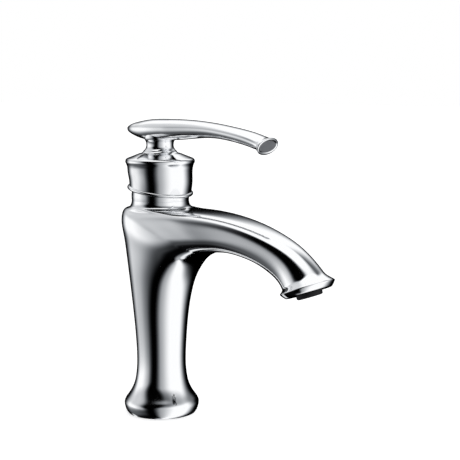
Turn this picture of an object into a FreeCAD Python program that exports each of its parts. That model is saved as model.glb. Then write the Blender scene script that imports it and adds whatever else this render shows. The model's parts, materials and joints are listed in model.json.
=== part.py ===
"""Single-lever bathroom mixer faucet, modelled piece by piece in millimetres.

+X points along the spout and +Z up. The origin is the centre of the foot, on the basin's deck.
"""
import FreeCAD
import Part

import math
import os
import re

import Sketcher
from FreeCAD import Placement, Rotation, Vector

# Driving sizes, in millimetres and degrees

SIZES = {
    # foot and column of the casting
    "foot_radius": 22.6,
    "bead_top_radius": 22.2,
    "bead_top": 12.0,
    "bead_round": 8.2,
    "cove_round": 34.0,
    "waist_radius": 16.3,
    "waist_height": 36.0,
    "spring_radius": 18.6,
    "spring_height": 70.0,
    "shoulder_radius": 25.0,
    "shoulder_drop": 9.0,
    "deck_height": 138.0,
    "deck_edge": 22.4,
    "deck_edge_drop": 1.6,
    # arched spout: tops of the arch and of the crown, with the leads that set their curves
    "spout_depth": 25.0,
    "arch_reach": 60.0,
    "arch_lift": 34.0,
    "arch_lead": 22.0,
    "spout_lead": 18.0,
    "crown_start": 30.0,
    "crown_lead": 40.0,
    "crown_tail": 26.0,
    "crown_tail_tilt": 44.0,
    "deck_fullness": 26.0,
    "spout_slimness": 8.2,
    "spout_squareness": 2.7,
    "deck_squareness": 6.0,
    # outlet lip
    "outlet_reach": 120.2,
    "outlet_height": 93.7,
    "outlet_tilt": 20.5,
    "rim_radius": 17.4,
    "rim_face_radius": 14.4,
    "rim_depth": 3.8,
    "throat_radius": 13.5,
    "throat_back": 10.1,
    "throat_offset": 2.5,
    "throat_tilt": 31.0,
    "throat_lead": 9.4,
    "flare_radius": 14.4,
    # hollows of the casting
    "cavity_foot_radius": 17.5,
    "cavity_foot_height": 8.0,
    "cavity_waist_radius": 13.5,
    "cavity_top_radius": 18.0,
    "cavity_cone_height": 22.0,
    "spout_wall": 3.5,
    "channel_radius": 2.8,
    "channel_end_reach": 50.0,
    "channel_drop": 11.0,
    "channel_rise": 6.0,
    "waterway_end_radius": 5.5,
    # ball neck and what it holds
    "pivot_rise": 7.0,
    "ball_wall": 2.0,
    "neck_cove": 4.6,
    "neck_skirt_flare": 2.9,
    "neck_skirt_drop": 0.8,
    "neck_foot_flare": 3.6,
    "neck_skirt_height": 3.0,
    "neck_root": 14.0,
    "seam_drop": 2.4,
    "spigot_wall": 1.85,
    "spigot_rise": 3.0,
    "collar_wall": 1.6,
    "collar_rise": 9.5,
    "collar_lid_gap": 0.2,
    "thread_gap": 0.05,
    "nut_overhang": 0.3,
    "nut_bore_radius": 11.0,
    "nut_height": 4.5,
    "nut_slot_width": 4.0,
    "nut_slot_depth": 2.0,
    # mixing cartridge
    "housing_radius": 13.0,
    "housing_wall": 1.9,
    "housing_flange_width": 1.8,
    "housing_flange_height": 3.0,
    "shelf_drop": 4.0,
    "cartridge_depth": 24.0,
    "slip_gap": 0.1,
    "seal_squeeze": 0.4,
    "cartridge_base_height": 5.1,
    "port_plate_height": 5.0,
    "port_radius": 2.4,
    "inlet_port_back": 3.5,
    "inlet_port_side": 5.2,
    "outlet_port_reach": 5.8,
    "port_seal_radius": 4.0,
    "port_seal_height": 2.0,
    "disc_seal_radius": 3.7,
    "disc_seal_height": 1.5,
    "disc_seal_proud": 0.3,
    "fixed_disc_height": 3.6,
    "moving_disc_radius": 8.0,
    "moving_disc_height": 3.0,
    "moving_disc_back": 2.2,
    "disc_gap": 0.05,
    "mixing_pocket_radius": 5.2,
    "mixing_pocket_depth": 1.2,
    "carrier_radius": 7.8,
    "carrier_height": 6.6,
    "rotor_gap": 0.4,
    "rotor_flange_height": 4.3,
    "rotor_neck_radius": 8.0,
    "rotor_rise": 4.5,
    "running_gap": 0.08,
    "limit_ring_radius": 10.6,
    "limit_ring_height": 2.0,
    # stem
    "stem_width": 7.0,
    "stem_gap": 0.1,
    "stem_square_drop": 3.6,
    "stem_rise": 18.0,
    "stem_rod_radius": 1.6,
    "stem_arm": 10.5,
    "stem_ball_radius": 2.0,
    "ball_gap": 0.15,
    "pin_radius": 1.5,
    "pin_length": 15.0,
    "slot_back": 6.6,
    "slot_front": 6.8,
    "slot_gap": 0.25,
    # hood of the handle
    "hood_gap": 0.4,
    "hood_wall": 2.15,
    "hood_draft": 1.05,
    "hood_bottom_drop": 4.0,
    "hood_skirt_rise": 18.5,
    "flange_overhang": 1.15,
    "flange_under_rise": 22.3,
    "flange_round": 2.2,
    "flange_cove": 9.0,
    "dome_set_back": 1.2,
    "dome_edge_rise": 25.2,
    "dome_top_radius": 13.6,
    "dome_top_rise": 28.3,
    "dome_cove": 3.5,
    "crease_radius": 10.6,
    "crease_rise": 30.4,
    "rim_plane_rise": 4.2,
    "rim_slant": 8.2,
    "bead_radius": 1.2,
    "bead_sink": 0.95,
    "roof_side_rise": 22.0,
    "roof_inner_radius": 12.0,
    "roof_inner_rise": 25.5,
    "hub_radius": 7.0,
    "hub_rise": 9.0,
    "hub_pocket_rise": 21.4,
    # screws of the handle
    "handle_screw_radius": 2.0,
    "handle_screw_head_radius": 3.4,
    "handle_screw_head_height": 2.8,
    "handle_screw_length": 17.0,
    "set_screw_radius": 2.5,
    "set_screw_length": 4.5,
    "set_screw_rise": 13.0,
    "hex_key_radius": 1.5,
    "hex_key_depth": 1.8,
    "plug_radius": 2.85,
    "plug_length": 3.2,
    "plug_chamfer": 0.4,
    "plug_sink": 0.5,
    # lever
    "lever_neck_radius": 9.0,
    "lever_neck_foot_radius": 10.4,
    "lever_neck_waist_rise": 3.4,
    "lever_neck_top_radius": 10.4,
    "lever_neck_top_rise": 9.0,
    "lever_rise": 14.1,
    "lever_tail_reach": 27.3,
    "lever_end_reach": 88.7,
    "lever_end_drop": 8.5,
    "lever_end_tilt": 25.0,
    "lever_end_width": 20.4,
    "lever_end_height": 12.0,
    "lever_end_rim": 2.1,
    "cap_thickness": 1.2,
    "cap_inset": 0.2,
    # aerator
    "aerator_radius": 8.2,
    "aerator_wall": 1.3,
    "aerator_length": 12.0,
    "aerator_proud": 2.5,
    "aerator_lip_radius": 6.2,
    "aerator_lip_height": 0.8,
    "screen_height": 0.5,
    "screen_hole_radius": 0.55,
    "screen_hole_pitch": 1.9,
    "core_height": 8.0,
    "core_waist_radius": 5.4,
    "core_rim_height": 1.6,
    "core_hole_radius": 0.9,
    "core_hole_circle": 3.4,
    "washer_bore_radius": 5.6,
    "washer_height": 1.6,
    # foot gasket, supply holes and the lug for the fixing stud
    "gasket_inner_radius": 19.0,
    "gasket_outer_radius": 21.4,
    "gasket_height": 1.5,
    "inlet_floor": 15.0,
    "inlet_radius": 4.5,
    "inlet_side": 8.0,
    "stud_radius": 2.5,
    "stud_reach": 9.5,
    "stud_lug_back": 5.5,
    "stud_lug_height": 12.0,
}

# Lever sections between its tail and its end: share of the tail (negative) or of the end reach,
# lift above the lever's axis, half width and half height
LEVER_SECTIONS = (
    (-1.0, -0.7, 0.6, 0.5),
    (-0.92, -0.72, 4.0, 2.55),
    (-0.55, -1.0, 8.6, 5.6),
    (0.0, -0.7, 11.5, 7.0),
    (0.17, -0.2, 11.0, 6.75),
    (0.34, 0.2, 9.6, 5.9),
    (0.56, -0.25, 8.6, 4.65),
    (0.79, -3.2, 8.4, 4.5),
    (0.9, -5.5, 8.4, 4.6),
)
for place, numbers in enumerate(LEVER_SECTIONS):
    for word, number in zip(("share", "lift", "half_width", "half_height"), numbers):
        SIZES[f"lever_{word}_{place}"] = number

# Levels that several pieces share, written with the sizes above

PIVOT = "(deck_height + pivot_rise)"
SEAM = f"({PIVOT} - seam_drop)"
SHELF = f"({PIVOT} - shelf_drop)"
SEAT = f"({SHELF} - cartridge_depth)"
PLATE_FOOT = f"({SEAT} - port_plate_height)"
CAVITY_TOP = f"({SEAT} - inlet_floor)"
CHANNEL_FOOT = f"({SEAT} - channel_drop)"
CARTRIDGE_FOOT = f"({SEAT} + seal_squeeze)"
BASE_TOP = f"({CARTRIDGE_FOOT} + cartridge_base_height)"
FIXED_DISC_FOOT = f"({BASE_TOP} + disc_seal_proud)"
MOVING_DISC_FOOT = f"({FIXED_DISC_FOOT} + fixed_disc_height + disc_gap)"
CARRIER_FOOT = f"({MOVING_DISC_FOOT} + moving_disc_height)"
CARRIER_TOP = f"({CARRIER_FOOT} + carrier_height)"
ROTOR_FOOT = f"({CARRIER_TOP} + rotor_gap)"
ROTOR_SHOULDER = f"({ROTOR_FOOT} + rotor_flange_height)"
HOUSING_TOP = f"({SHELF} + housing_flange_height)"
HOOD_TOP = f"({PIVOT} + crease_rise)"
POCKET_TOP = f"({PIVOT} + hub_pocket_rise)"
LEVER_AXIS = f"({HOOD_TOP} + lever_rise)"
CARTRIDGE_BORE = "(housing_radius + slip_gap)"
HOUSING_BORE = "(housing_radius - housing_wall)"
HOUSING_FLANGE = "(housing_radius + housing_flange_width)"
NUT_RADIUS = f"({HOUSING_FLANGE} + nut_overhang)"
SPIGOT_RADIUS = f"({NUT_RADIUS} + thread_gap + spigot_wall)"
BALL_RADIUS = f"({SPIGOT_RADIUS} + ball_wall)"
HOOD_BORE = f"({BALL_RADIUS} + hood_gap)"
HOOD_RADIUS = f"({HOOD_BORE} + hood_wall)"
AERATOR_BORE = "(aerator_radius + thread_gap)"
AERATOR_X = "outlet_reach + aerator_proud * sin(outlet_tilt)"
AERATOR_Z = "outlet_height - aerator_proud * cos(outlet_tilt)"
CAP_DEPTH = "(cap_thickness + cap_inset)"
CAP_X = f"lever_end_reach - {CAP_DEPTH} * cos(lever_end_tilt)"
CAP_Z = f"{LEVER_AXIS} - lever_end_drop + {CAP_DEPTH} * sin(lever_end_tilt)"
PORTS = (
    ("-inlet_port_back", "inlet_port_side"),
    ("-inlet_port_back", "-inlet_port_side"),
    ("outlet_port_reach", "0"),
)

document = FreeCAD.newDocument("mixer_faucet")
sheet = document.addObject("Spreadsheet::Sheet", "sizes")
for row, (name, number) in enumerate(SIZES.items(), start=1):
    sheet.set(f"A{row}", name)
    sheet.set(f"B{row}", str(number))
    sheet.setAlias(f"B{row}", name)
document.recompute()


# Helpers that bind shapes to the sizes


def linked(formula):
    """The formula with each size's name pointing at its cell."""
    return re.sub(r"[a-z_][a-z_0-9]*", lambda m: f"sizes.{m[0]}" if m[0] in SIZES else m[0], formula)


def value(formula):
    """The formula's number at the present sizes."""
    return float(sheet.evalExpression(linked(formula)))


def bind(thing, **formulas):
    """Ties properties of a document object to formulas; base_x, base_y and base_z set its place."""
    for key, formula in formulas.items():
        path = f".Placement.Base.{key[-1]}" if key.startswith("base_") else key
        thing.setExpression(path, linked(formula))
    return thing


def shape_object(kind, name, turn=None, **formulas):
    """A Part object of the given kind, turned as asked and bound to formulas."""
    thing = document.addObject(f"Part::{kind}", name)
    if turn:
        thing.Placement = Placement(Vector(), turn)
    return bind(thing, **formulas)


def joined(name, pieces):
    """The union of several objects."""
    union = document.addObject("Part::MultiFuse", name)
    union.Shapes = pieces
    return union


def cut(name, base, tools):
    """The base with all of the tools taken away."""
    result = document.addObject("Part::Cut", name)
    result.Base = base
    result.Tool = tools[0] if len(tools) == 1 else joined(f"{name}_tools", tools)
    return result


ALONG_X = Rotation(Vector(0, 1, 0), 90)
BACK_ALONG_X = Rotation(Vector(0, 1, 0), -90)
ALONG_Y = Rotation(Vector(1, 0, 0), -90)
FACING_X = Rotation(Vector(1, 1, 1), 120)
OUTLET_LEAN = Rotation(Vector(0, -1, 0), SIZES["outlet_tilt"])
LEVER_END_LEAN = Rotation(Vector(0, 1, 0), SIZES["lever_end_tilt"]) * FACING_X
RIM_LEAN = Rotation(Vector(0, 1, 0), SIZES["rim_slant"])


def arc_of(start, end, radius):
    """Circle arc between two sketch points; a positive radius keeps its centre to the left."""
    chord = end - start
    side = Vector(-chord.y, chord.x, 0).normalize()
    height = math.sqrt(radius**2 - (chord.Length / 2) ** 2)
    centre = (start + end) * 0.5 + side * (height if radius > 0 else -height)
    first, last = (start, end) if radius > 0 else (end, start)
    angles = [math.atan2(p.y - centre.y, p.x - centre.x) for p in (first, last)]
    return Part.ArcOfCircle(Part.Circle(centre, Vector(0, 0, 1), abs(radius)), *angles)


def turned(name, outline):
    """A body turned about its upright axis.

    Each row of the closed outline is a radius and a height and, where the edge to the next row is
    an arc, its radius: positive with the centre to the left of the way round.
    """
    body = document.addObject("PartDesign::Body", name)
    sketch = body.newObject("Sketcher::SketchObject", f"{name}_outline")
    plane = next(f for f in body.Origin.OriginFeatures if f.Role == "XZ_Plane")
    sketch.AttachmentSupport = [(plane, "")]
    sketch.MapMode = "FlatFace"
    corners = [Vector(value(row[0]), value(row[1]), 0) for row in outline]
    starts, ends = [], []
    for index, row in enumerate(outline):
        start, end = corners[index], corners[(index + 1) % len(corners)]
        bend = value(row[2]) if len(row) > 2 else 0
        edge = arc_of(start, end, bend) if bend else Part.LineSegment(start, end)
        sketch.addGeometry(edge, False)
        starts.append((index, 2 if bend < 0 else 1))
        ends.append((index, 1 if bend < 0 else 2))
        if bend:
            size = sketch.addConstraint(Sketcher.Constraint("Radius", index, abs(bend)))
            sketch.setExpression(f"Constraints[{size}]", linked(f"abs({row[2]})"))
    for index, row in enumerate(outline):
        sketch.addConstraint(Sketcher.Constraint("Coincident", *ends[index - 1], *starts[index]))
        for axis, formula, zero_line in (("DistanceX", row[0], -2), ("DistanceY", row[1], -1)):
            if formula == "0":
                sketch.addConstraint(Sketcher.Constraint("PointOnObject", *starts[index], zero_line))
            else:
                rule = Sketcher.Constraint(axis, -1, 1, *starts[index], value(formula))
                sketch.setExpression(f"Constraints[{sketch.addConstraint(rule)}]", linked(formula))
    revolution = body.newObject("PartDesign::Revolution", f"{name}_turn")
    revolution.Profile = sketch
    revolution.ReferenceAxis = (sketch, ["V_Axis"])
    revolution.Angle = 360
    body.Tip = revolution
    return body


def ring_outline(inner, outer, foot, top):
    """Outline of a plain ring or, with an inner radius of 0, of a disc."""
    return [(inner, foot), (outer, foot), (outer, top), (inner, top)]


def rod(name, radius, length, x="0", y="0", z="0", turn=None):
    """A round bar from its foot at x, y, z."""
    return shape_object("Cylinder", name, turn, Radius=radius, Height=length, base_x=x, base_y=y, base_z=z)


def block(name, length, width, height, x, y, z):
    """A box from its lowest corner."""
    return shape_object(
        "Box", name, Length=length, Width=width, Height=height, base_x=x, base_y=y, base_z=z
    )


# The casting's outer skin and waterway: sections that fan round the arch


def bezier(a, b, c, d, share):
    """The value or point at a share of the way along a cubic curve."""
    rest = 1 - share
    return a * rest**3 + b * (3 * rest**2 * share) + c * (3 * rest * share**2) + d * share**3


def section(inner, outer, half_width, under=2.0, over=2.0, shrink=0.0):
    """Closed curve of a rounded section between an inner and an outer point of the middle plane.

    The powers under and over square off its inner and outer halves; 2 leaves them round.
    """
    centre = (inner + outer) * 0.5
    arm = outer - centre
    arm = arm * (1 - shrink / arm.Length)
    points = []
    for step in range(SECTION_POINTS):
        angle = 2 * math.pi * step / SECTION_POINTS
        along, across = math.cos(angle), math.sin(angle)
        power = 2 / (over if along > 0 else under)
        along = math.copysign(abs(along) ** power, along)
        across = math.copysign(abs(across) ** power, across)
        points.append(centre + arm * along + Vector(0, (half_width - shrink) * across, 0))
    curve = Part.BSplineCurve()
    knots = [step / SECTION_POINTS for step in range(SECTION_POINTS + 1)]
    curve.interpolate(Points=points, PeriodicFlag=True, Parameters=knots)
    return curve


def tilted(tilt):
    """Unit directions across and down an outlet that leans forward by tilt degrees."""
    angle = math.radians(tilt)
    return Vector(math.cos(angle), 0, math.sin(angle)), Vector(math.sin(angle), 0, -math.cos(angle))


SECTION_POINTS = 32
# sections of the fan: shares of the arch and of the back
FAN_SHARES = ((0.17, 0.29), (0.31, 0.56), (0.48, 0.83), (0.62, 1.0))
# sections across the deck: shares of the arch, of the taper in width and of the flatness on top
DECK_SHARES = (
    (0.73, 0.125, 0.2),
    (0.77, 0.19, 0.7),
    (0.83, 0.25, 1.0),
    (0.88, 0.31, 1.0),
    (0.94, 0.375, 0.8),
)
# later sections: shares of the underside, of the crown, of the taper and of the flatness
SPOUT_SHARES = (
    (0.09, 0.19, 0.5, 0.55),
    (0.33, 0.42, 0.625, 0.35),
    (0.56, 0.65, 0.75, 0.2),
    (0.82, 0.84, 0.875, 0.1),
    (1.0, 1.0, 1.0, 0.0),
)


def casting_sections():
    """Curves of the outer skin, waist to rim, and of the waterway inside the spout."""
    size = sheet.get
    deck, spring = size("deck_height"), size("spring_height")
    across, down = tilted(size("outlet_tilt"))
    throat_across, throat_down = tilted(size("throat_tilt"))
    face = Vector(size("outlet_reach"), 0, size("outlet_height"))
    throat = face - down * size("throat_back") - across * size("throat_offset")
    under = throat - throat_across * size("throat_radius")
    over = throat + throat_across * size("throat_radius")

    arch_foot = Vector(size("spring_radius"), 0, spring)
    arch_top = Vector(size("arch_reach"), 0, deck - size("spout_depth"))
    column_slope = (size("shoulder_radius") - size("spring_radius")) / (
        deck - size("shoulder_drop") - spring
    )
    arch = (
        arch_foot,
        arch_foot + Vector(column_slope, 0, 1) * size("arch_lift"),
        arch_top - Vector(size("arch_lead"), 0, 0),
        arch_top,
    )
    underside = (
        arch_top,
        arch_top + Vector(size("spout_lead"), 0, 0),
        under - throat_down * size("throat_lead"),
        under,
    )
    crown_foot = Vector(size("crown_start"), 0, deck)
    crown_tail = tilted(size("crown_tail_tilt"))[1]
    crown = (
        crown_foot,
        crown_foot + Vector(size("crown_lead"), 0, 0),
        over - crown_tail * size("crown_tail"),
        over,
    )
    back_foot = Vector(-size("spring_radius"), 0, spring)
    back_top = Vector(-size("shoulder_radius"), 0, deck - size("shoulder_drop"))
    deck_points = (
        Vector(-size("deck_edge"), 0, deck - size("deck_edge_drop")),
        Vector(-size("deck_edge") * 0.6, 0, deck),
        Vector(0, 0, deck),
        crown_foot * 0.5 + Vector(0, 0, deck) * 0.5,
        crown_foot,
    )

    waist, waist_height = size("waist_radius"), size("waist_height")
    middle_radius = waist + (size("spring_radius") - waist) * 0.3
    middle_height = waist_height + (spring - waist_height) * 0.47
    skin = []
    for radius, height in ((waist, waist_height), (middle_radius, middle_height)):
        skin.append(section(Vector(radius, 0, height), Vector(-radius, 0, height), radius))
    skin.append(section(arch_foot, back_foot, size("spring_radius")))

    under_power, over_power = size("spout_squareness") - 2, size("deck_squareness") - 2
    for arch_share, back_share in FAN_SHARES:
        half_width = size("spring_radius") + (size("shoulder_radius") - size("spring_radius")) * back_share
        outer = back_foot + (back_top - back_foot) * back_share
        skin.append(section(bezier(*arch, arch_share), outer, half_width, 2 + under_power * back_share))

    spout = []
    for (share, taper, flat), point in zip(DECK_SHARES, deck_points):
        spout.append((bezier(*arch, share), point, taper, flat))
    spout += [(bezier(*underside, a), bezier(*crown, b), taper, flat) for a, b, taper, flat in SPOUT_SHARES]
    widths = [size(name) for name in ("shoulder_radius", "deck_fullness", "spout_slimness", "throat_radius")]
    waterway = []
    for inner, outer, taper, flat in spout:
        half_width = bezier(*widths, taper)
        powers = 2 + under_power * (1 - taper**2), 2 + over_power * flat
        skin.append(section(inner, outer, half_width, *powers))
        if DECK_SHARES[-1][1] <= taper < 1:
            waterway.append(section(inner, outer, half_width, *powers, size("spout_wall")))
    narrow = throat_across * size("waterway_end_radius")
    waterway.append(section(throat - narrow, throat + narrow, size("waterway_end_radius")))

    rim = face - down * size("rim_depth")
    flare = throat * 0.5 + rim * 0.5
    flare_across = tilted((size("outlet_tilt") + size("throat_tilt")) / 2)[0]
    for centre, direction, name in ((flare, flare_across, "flare_radius"), (rim, across, "rim_radius")):
        arm = direction * size(name)
        skin.append(section(centre - arm, centre + arm, size(name)))
    return skin, waterway


def skinned(name, curves):
    """A smooth solid through closed curves that share their knots, with flat ends."""
    columns = list(zip(*(curve.getPoles() for curve in curves)))
    steps = [0.0]
    for place in range(1, len(curves)):
        gaps = [(poles[place] - poles[place - 1]).Length for poles in columns]
        steps.append(steps[-1] + sum(gaps) / len(gaps))
    rails = []
    for poles in columns:
        rail = Part.BSplineCurve()
        rail.interpolate(Points=list(poles), Parameters=steps)
        rails.append(rail)
    around, along = curves[0], rails[0]
    surface = Part.BSplineSurface()
    surface.buildFromPolesMultsKnots(
        [rail.getPoles() for rail in rails],
        around.getMultiplicities(),
        along.getMultiplicities(),
        around.getKnots(),
        along.getKnots(),
        True,
        False,
        around.Degree,
        along.Degree,
    )
    side = surface.toShape()
    ends = [Part.Face(Part.Wire([edge])) for edge in side.Edges if edge.isClosed()]
    shell = Part.Shell([side] + ends)
    shell.sewShape()
    thing = document.addObject("Part::Feature", name)
    thing.Shape = Part.Solid(shell)
    return thing


def make_body():
    """The hollow casting: foot, column, spout, lip and ball neck."""
    skin, waterway = casting_sections()
    foot = turned(
        "foot",
        [
            ("0", "0"),
            ("foot_radius", "0", "bead_round"),
            ("bead_top_radius", "bead_top", "-cove_round"),
            ("waist_radius", "waist_height"),
            ("0", "waist_height"),
        ],
    )
    skirt = "deck_height - neck_skirt_drop"
    cove_top = f"{skirt} + neck_cove"
    neck = turned(
        "neck",
        [
            ("0", "deck_height - neck_root"),
            (SPIGOT_RADIUS, "deck_height - neck_root"),
            (f"{BALL_RADIUS} + neck_foot_flare", f"{skirt} - neck_skirt_height"),
            (f"{BALL_RADIUS} + neck_skirt_flare", skirt, "-neck_cove"),
            (f"sqrt({BALL_RADIUS}^2 - ({PIVOT} - ({cove_top}))^2)", cove_top, BALL_RADIUS),
            (f"sqrt({BALL_RADIUS}^2 - seam_drop^2)", SEAM),
            (SPIGOT_RADIUS, SEAM),
            (SPIGOT_RADIUS, f"{PIVOT} + spigot_rise"),
            ("0", f"{PIVOT} + spigot_rise"),
        ],
    )
    lip = shape_object(
        "Cone",
        "lip",
        OUTLET_LEAN,
        Radius1="rim_face_radius",
        Radius2="rim_radius",
        Height="rim_depth",
        base_x="outlet_reach",
        base_z="outlet_height",
    )
    solid = joined("casting", [foot, skinned("skin", skin), neck, lip])

    cavity = turned(
        "cavity",
        [
            ("0", "0"),
            ("cavity_foot_radius", "0"),
            ("cavity_foot_radius", "cavity_foot_height"),
            ("cavity_waist_radius", "cavity_cone_height"),
            ("cavity_waist_radius", "waist_height"),
            ("cavity_top_radius", CAVITY_TOP),
            ("0", CAVITY_TOP),
        ],
    )
    groove = ring_outline("gasket_inner_radius", "gasket_outer_radius", "0", "gasket_height")
    port_length = f"{PLATE_FOOT} - {CHANNEL_FOOT}"
    tools = [
        cavity,
        turned("gasket_groove", groove),
        skinned("waterway", waterway),
        rod("cartridge_bore", CARTRIDGE_BORE, f"{PIVOT} - {PLATE_FOOT}", z=PLATE_FOOT),
        rod("nut_bore", f"{NUT_RADIUS} + thread_gap", "shelf_drop + spigot_rise", z=SHELF),
        rod("outlet_port", "port_radius", port_length, x="outlet_port_reach", z=CHANNEL_FOOT),
        rod(
            "aerator_bore",
            AERATOR_BORE,
            "aerator_length + washer_height",
            x=AERATOR_X,
            z=AERATOR_Z,
            turn=OUTLET_LEAN,
        ),
    ]
    for name, y in (("hot_inlet", "inlet_side"), ("cold_inlet", "-inlet_side")):
        depth = f"{PLATE_FOOT} - {CAVITY_TOP}"
        tools.append(rod(name, "inlet_radius", depth, x="-inlet_port_back", y=y, z=CAVITY_TOP))
    start = Vector(value("outlet_port_reach"), 0, value(CHANNEL_FOOT))
    end = Vector(value("channel_end_reach"), 0, value("deck_height - spout_depth + channel_rise"))
    channel = document.addObject("Part::Feature", "channel")
    channel.Shape = Part.makeCylinder(value("channel_radius"), (end - start).Length, start, end - start)
    return cut("faucet_body", solid, tools + [channel])


def make_stud_lug():
    """The lug brazed into the waist of the column, tapped for the fixing stud."""
    foot, waist = "cavity_cone_height", "cavity_waist_radius"
    blank = rod("lug_blank", f"{waist} - thread_gap", "stud_lug_height", z=foot)
    length, width, side = f"{waist} + stud_lug_back", f"2 * {waist}", f"-{waist}"
    hose_room = block("hose_room", length, width, "stud_lug_height", side, side, foot)
    hole = rod("stud_hole", "stud_radius", "stud_lug_height", x="stud_reach", z=foot)
    return cut("stud_lug", blank, [hose_room, hole])


def make_neck_pieces():
    """The ball collar and the nut on the neck, and the gasket under the foot."""
    bore = f"{SPIGOT_RADIUS} + thread_gap"
    inner = f"({BALL_RADIUS} - collar_wall)"
    lid = "(spigot_rise + collar_lid_gap)"
    collar = turned(
        "ball_collar",
        [
            (bore, SEAM),
            (f"sqrt({BALL_RADIUS}^2 - seam_drop^2)", SEAM, BALL_RADIUS),
            (f"sqrt({BALL_RADIUS}^2 - collar_rise^2)", f"{PIVOT} + collar_rise"),
            (f"sqrt({inner}^2 - collar_rise^2)", f"{PIVOT} + collar_rise", f"-{inner}"),
            (f"sqrt({inner}^2 - {lid}^2)", f"{PIVOT} + {lid}"),
            (bore, f"{PIVOT} + {lid}"),
        ],
    )
    top = f"{HOUSING_TOP} + nut_height"
    ring = turned("nut_ring", ring_outline("nut_bore_radius", NUT_RADIUS, HOUSING_TOP, top))
    floor = f"{top} - nut_slot_depth"
    reach, half = f"2 * {NUT_RADIUS}", "nut_slot_width / 2"
    slots = [
        block("nut_slot_x", reach, "nut_slot_width", "nut_slot_depth", f"-{NUT_RADIUS}", f"-{half}", floor),
        block("nut_slot_y", "nut_slot_width", reach, "nut_slot_depth", f"-{half}", f"-{NUT_RADIUS}", floor),
    ]
    gasket = turned(
        "base_gasket",
        ring_outline(
            "gasket_inner_radius + thread_gap", "gasket_outer_radius - thread_gap", "0", "gasket_height"
        ),
    )
    return [collar, cut("retaining_nut", ring, slots), gasket]


def port_rods(name, radius, length, foot):
    """Round tools or pieces at the three ports of the cartridge."""
    return [rod(f"{name}_{i}", radius, length, x=x, y=y, z=foot) for i, (x, y) in enumerate(PORTS)]


def port_rings(name, radius, height, foot):
    """Three seals round the ports, as one group of separate rings."""
    outer = port_rods(f"{name}_outer", radius, height, foot)
    inner = port_rods(f"{name}_inner", "port_radius + slip_gap", height, foot)
    return cut(name, joined(f"{name}_blanks", outer), inner)


def make_fixed_cartridge():
    """The cartridge's housing, base, seals, fixed disc and limit ring."""
    neck_hole = "rotor_neck_radius + running_gap"
    housing = turned(
        "cartridge_housing",
        [
            (HOUSING_BORE, CARTRIDGE_FOOT),
            ("housing_radius", CARTRIDGE_FOOT),
            ("housing_radius", SHELF),
            (HOUSING_FLANGE, SHELF),
            (HOUSING_FLANGE, HOUSING_TOP),
            (neck_hole, HOUSING_TOP),
            (neck_hole, SHELF),
            (HOUSING_BORE, SHELF),
        ],
    )
    inside = f"{HOUSING_BORE} - slip_gap"
    blank = turned("base_blank", ring_outline("0", inside, CARTRIDGE_FOOT, BASE_TOP))
    lower = "port_seal_height - seal_squeeze"
    upper = "(disc_seal_height - disc_seal_proud)"
    base_tools = port_rods("base_port", "port_radius", "cartridge_base_height", CARTRIDGE_FOOT)
    base_tools += port_rods("lower_groove", "port_seal_radius + thread_gap", lower, CARTRIDGE_FOOT)
    base_tools += port_rods("upper_groove", "disc_seal_radius + thread_gap", upper, f"{BASE_TOP} - {upper}")
    disc = turned(
        "fixed_disc_blank",
        ring_outline("0", inside, FIXED_DISC_FOOT, f"{FIXED_DISC_FOOT} + fixed_disc_height"),
    )
    disc_ports = port_rods("disc_port", "port_radius", "fixed_disc_height", FIXED_DISC_FOOT)
    plate = rod("plate_blank", f"{CARTRIDGE_BORE} - thread_gap", "port_plate_height", z=PLATE_FOOT)
    plate_ports = port_rods("plate_port", "port_radius", "port_plate_height", PLATE_FOOT)
    limit_top = f"{HOUSING_TOP} + limit_ring_height"
    limit_ring = turned(
        "hot_limit_ring",
        ring_outline("rotor_neck_radius + rotor_gap", "limit_ring_radius", HOUSING_TOP, limit_top),
    )
    seal_foot = f"{FIXED_DISC_FOOT} - disc_seal_height"
    return [
        cut("port_plate", plate, plate_ports),
        housing,
        cut("cartridge_base", blank, base_tools),
        port_rings("port_seals", "port_seal_radius", "port_seal_height", SEAT),
        port_rings("disc_seals", "disc_seal_radius", "disc_seal_height", seal_foot),
        cut("fixed_ceramic_disc", disc, disc_ports),
        limit_ring,
    ]


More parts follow.
